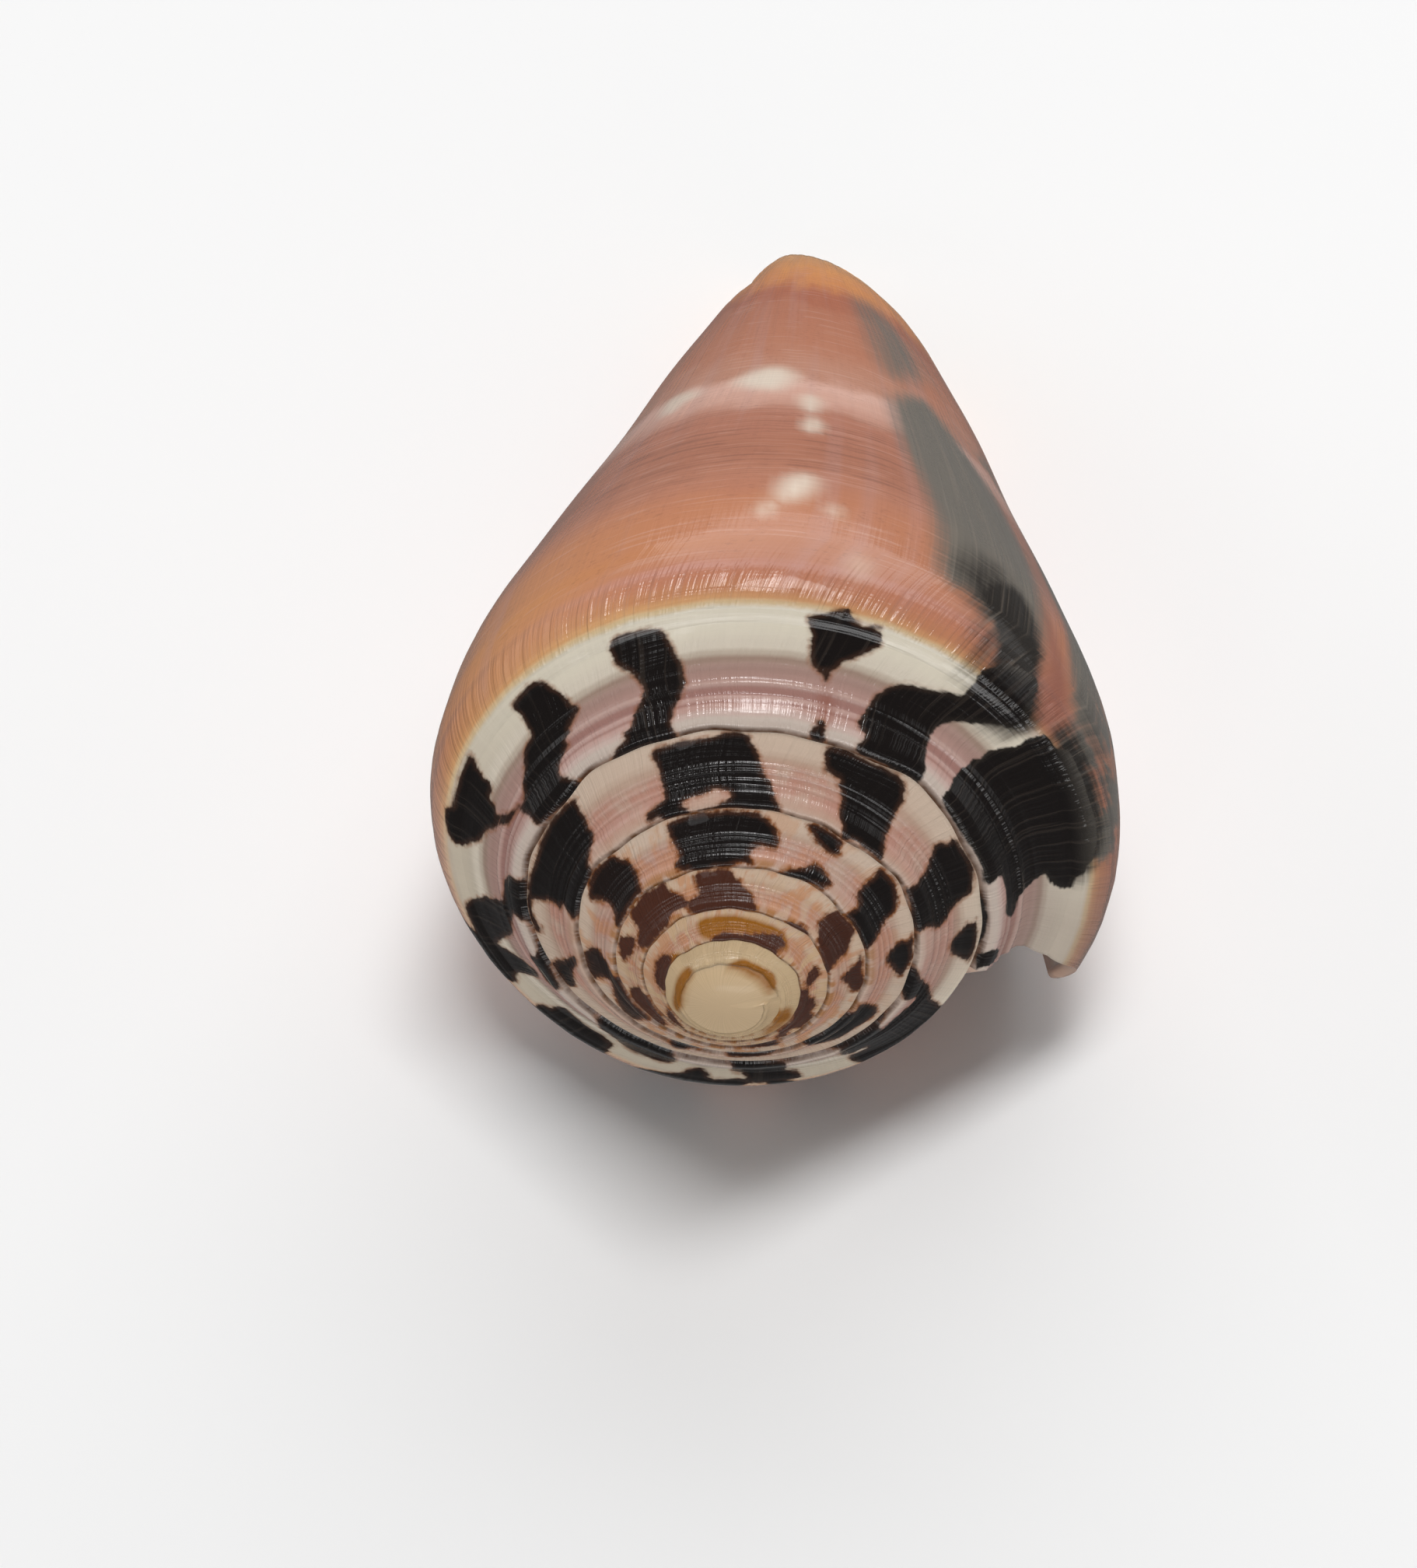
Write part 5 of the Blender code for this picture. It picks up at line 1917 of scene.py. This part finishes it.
    def build(self, outer: bpy.types.Material, inner: bpy.types.Material) -> bpy.types.Object:
        """Build and dress the shell.

        Args:
            outer: Material of the outside.
            inner: Material of the aperture's inside.

        Returns:
            The shell as an object in the ground's frame.
        """
        quads = np.concatenate([self.skin(), self.apex()])
        outside = [self.all(name) for name in ("point", "back", "station")]
        marks = MarkField(self.grid.law, self.view, *outside, quads)
        fields = marks.collect(BODY_MARKS + PENULTIMATE_MARKS + UPPER_MARKS, SPREAD_MARKS)
        LOG.info("blotches placed: %d points inked", int((fields[INK] > 0.0).sum()))
        self.aperture()
        self.front()
        points = self.all("point")
        self.rest.settle(points)
        matrix = np.array(self.rest.matrix())
        mesh = bpy.data.meshes.new("shell_surface")
        mesh.from_pydata((points @ matrix[:3, :3].T + matrix[:3, 3]).tolist(), [], self.faces)
        mesh.materials.append(outer)
        mesh.materials.append(inner)
        slots = np.zeros(len(self.faces), dtype=np.int32)
        slots[list(self.inner_faces)] = 1
        mesh.polygons.foreach_set("material_index", slots)
        for name, values in self.numbers(fields).items():
            layer = mesh.attributes.new(name, "FLOAT", "POINT")
            layer.data.foreach_set("value", values.astype(np.float32))
        mesh.shade_smooth()
        mesh.update()
        return in_scene("shell_surface", mesh)


@dataclass(frozen=True)
class SoftLight:
    """A soft rectangular light that faces the shell."""

    name: str
    spot: tuple[float, float, float]
    size: Pair
    power: float

    def hang(self) -> None:
        """Hang the light."""
        data = bpy.data.lights.new(self.name, "AREA")
        data.shape = "RECTANGLE"
        data.size, data.size_y = self.size
        data.energy = self.power
        light = in_scene(self.name, data)
        light.location = self.spot
        light.rotation_mode = "QUATERNION"
        light.rotation_quaternion = (-Vector(self.spot)).to_track_quat("-Z", "Y")


@dataclass(frozen=True)
class Studio:
    """Pale floor, soft lights and the photograph's camera."""

    floor_size: float = 3.0
    floor_colour: Colour = (0.93, 0.93, 0.93)
    floor_roughness: float = 0.9
    world_strength: float = 0.155
    sensor: float = 36.0
    clip: Pair = (0.005, 20.0)
    soft_lights: tuple[SoftLight, ...] = (
        SoftLight("overhead", (0.02, 0.02, 0.62), (0.15, 0.28), 2.2),
        SoftLight("behind", (0.05, 0.75, 0.50), (1.1, 0.7), 4.0),
        SoftLight("left", (-0.80, 0.10, 0.30), (0.6, 0.5), 0.95),
        SoftLight("right", (0.85, 0.30, 0.20), (1.0, 0.5), 0.8),
        SoftLight("low_front", (0.15, -0.75, 0.06), (0.7, 0.20), 1.8),
        SoftLight("sheen", (-0.20, -0.58, 0.42), (0.10, 0.08), 0.10),
    )

    def floor(self) -> None:
        """Lay the floor."""
        half = self.floor_size / 2.0
        mesh = bpy.data.meshes.new("floor")
        corners = [(-half, -half, 0.0), (half, -half, 0.0), (half, half, 0.0), (-half, half, 0.0)]
        mesh.from_pydata(corners, [], [(0, 1, 2, 3)])
        material = bpy.data.materials.new("pale_floor")
        material.use_nodes = True
        shader = material.node_tree.nodes["Principled BSDF"]
        shader.inputs["Base Color"].default_value = (*self.floor_colour, 1.0)
        shader.inputs["Roughness"].default_value = self.floor_roughness
        mesh.materials.append(material)
        floor = in_scene("floor", mesh)
        floor.visible_glossy = False

    def lights(self) -> None:
        """Hang the lights and set the room's glow."""
        for light in self.soft_lights:
            light.hang()
        world = bpy.data.worlds.new("studio")
        world.use_nodes = True
        glow = world.node_tree.nodes["Background"]
        glow.inputs["Color"].default_value = (1.0, 1.0, 1.0, 1.0)
        glow.inputs["Strength"].default_value = self.world_strength
        bpy.context.scene.world = world

    def camera(self, view: PhotoView, rest: Rest) -> None:
        """Set the camera where the photograph was taken from.

        Args:
            view: The photograph's camera in the shell's frame.
            rest: How the shell lies.
        """
        data = bpy.data.cameras.new("photo_view")
        data.sensor_width = self.sensor
        data.lens = view.focal_pixels / PHOTO_HEIGHT * self.sensor
        data.clip_start, data.clip_end = self.clip
        camera = in_scene("photo_view", data)
        camera.matrix_world = rest.matrix() @ view.pose()
        bpy.context.scene.camera = camera
        bpy.context.scene.view_settings.view_transform = "Standard"


def main() -> None:
    """Build the shell, its finishes and the studio in order."""
    logging.basicConfig(level=logging.INFO, format="%(message)s")
    law, view, rest = GrowthLaw(), PhotoView(), Rest()
    weave, edge = GrowthWeave(), RaggedEdge()
    outer = PolishedShell().material(weave, edge)
    inner = Porcelain().material(weave)
    shell = ConeShell(ShellGrid(law, Relief()), view, rest).build(outer, inner)
    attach(shell, "root")
    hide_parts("shell")
    LOG.info("shell: %d faces", len(shell.data.polygons))
    studio = Studio()
    studio.floor()
    studio.lights()
    studio.camera(view, rest)


if __name__ == "__main__":
    main()
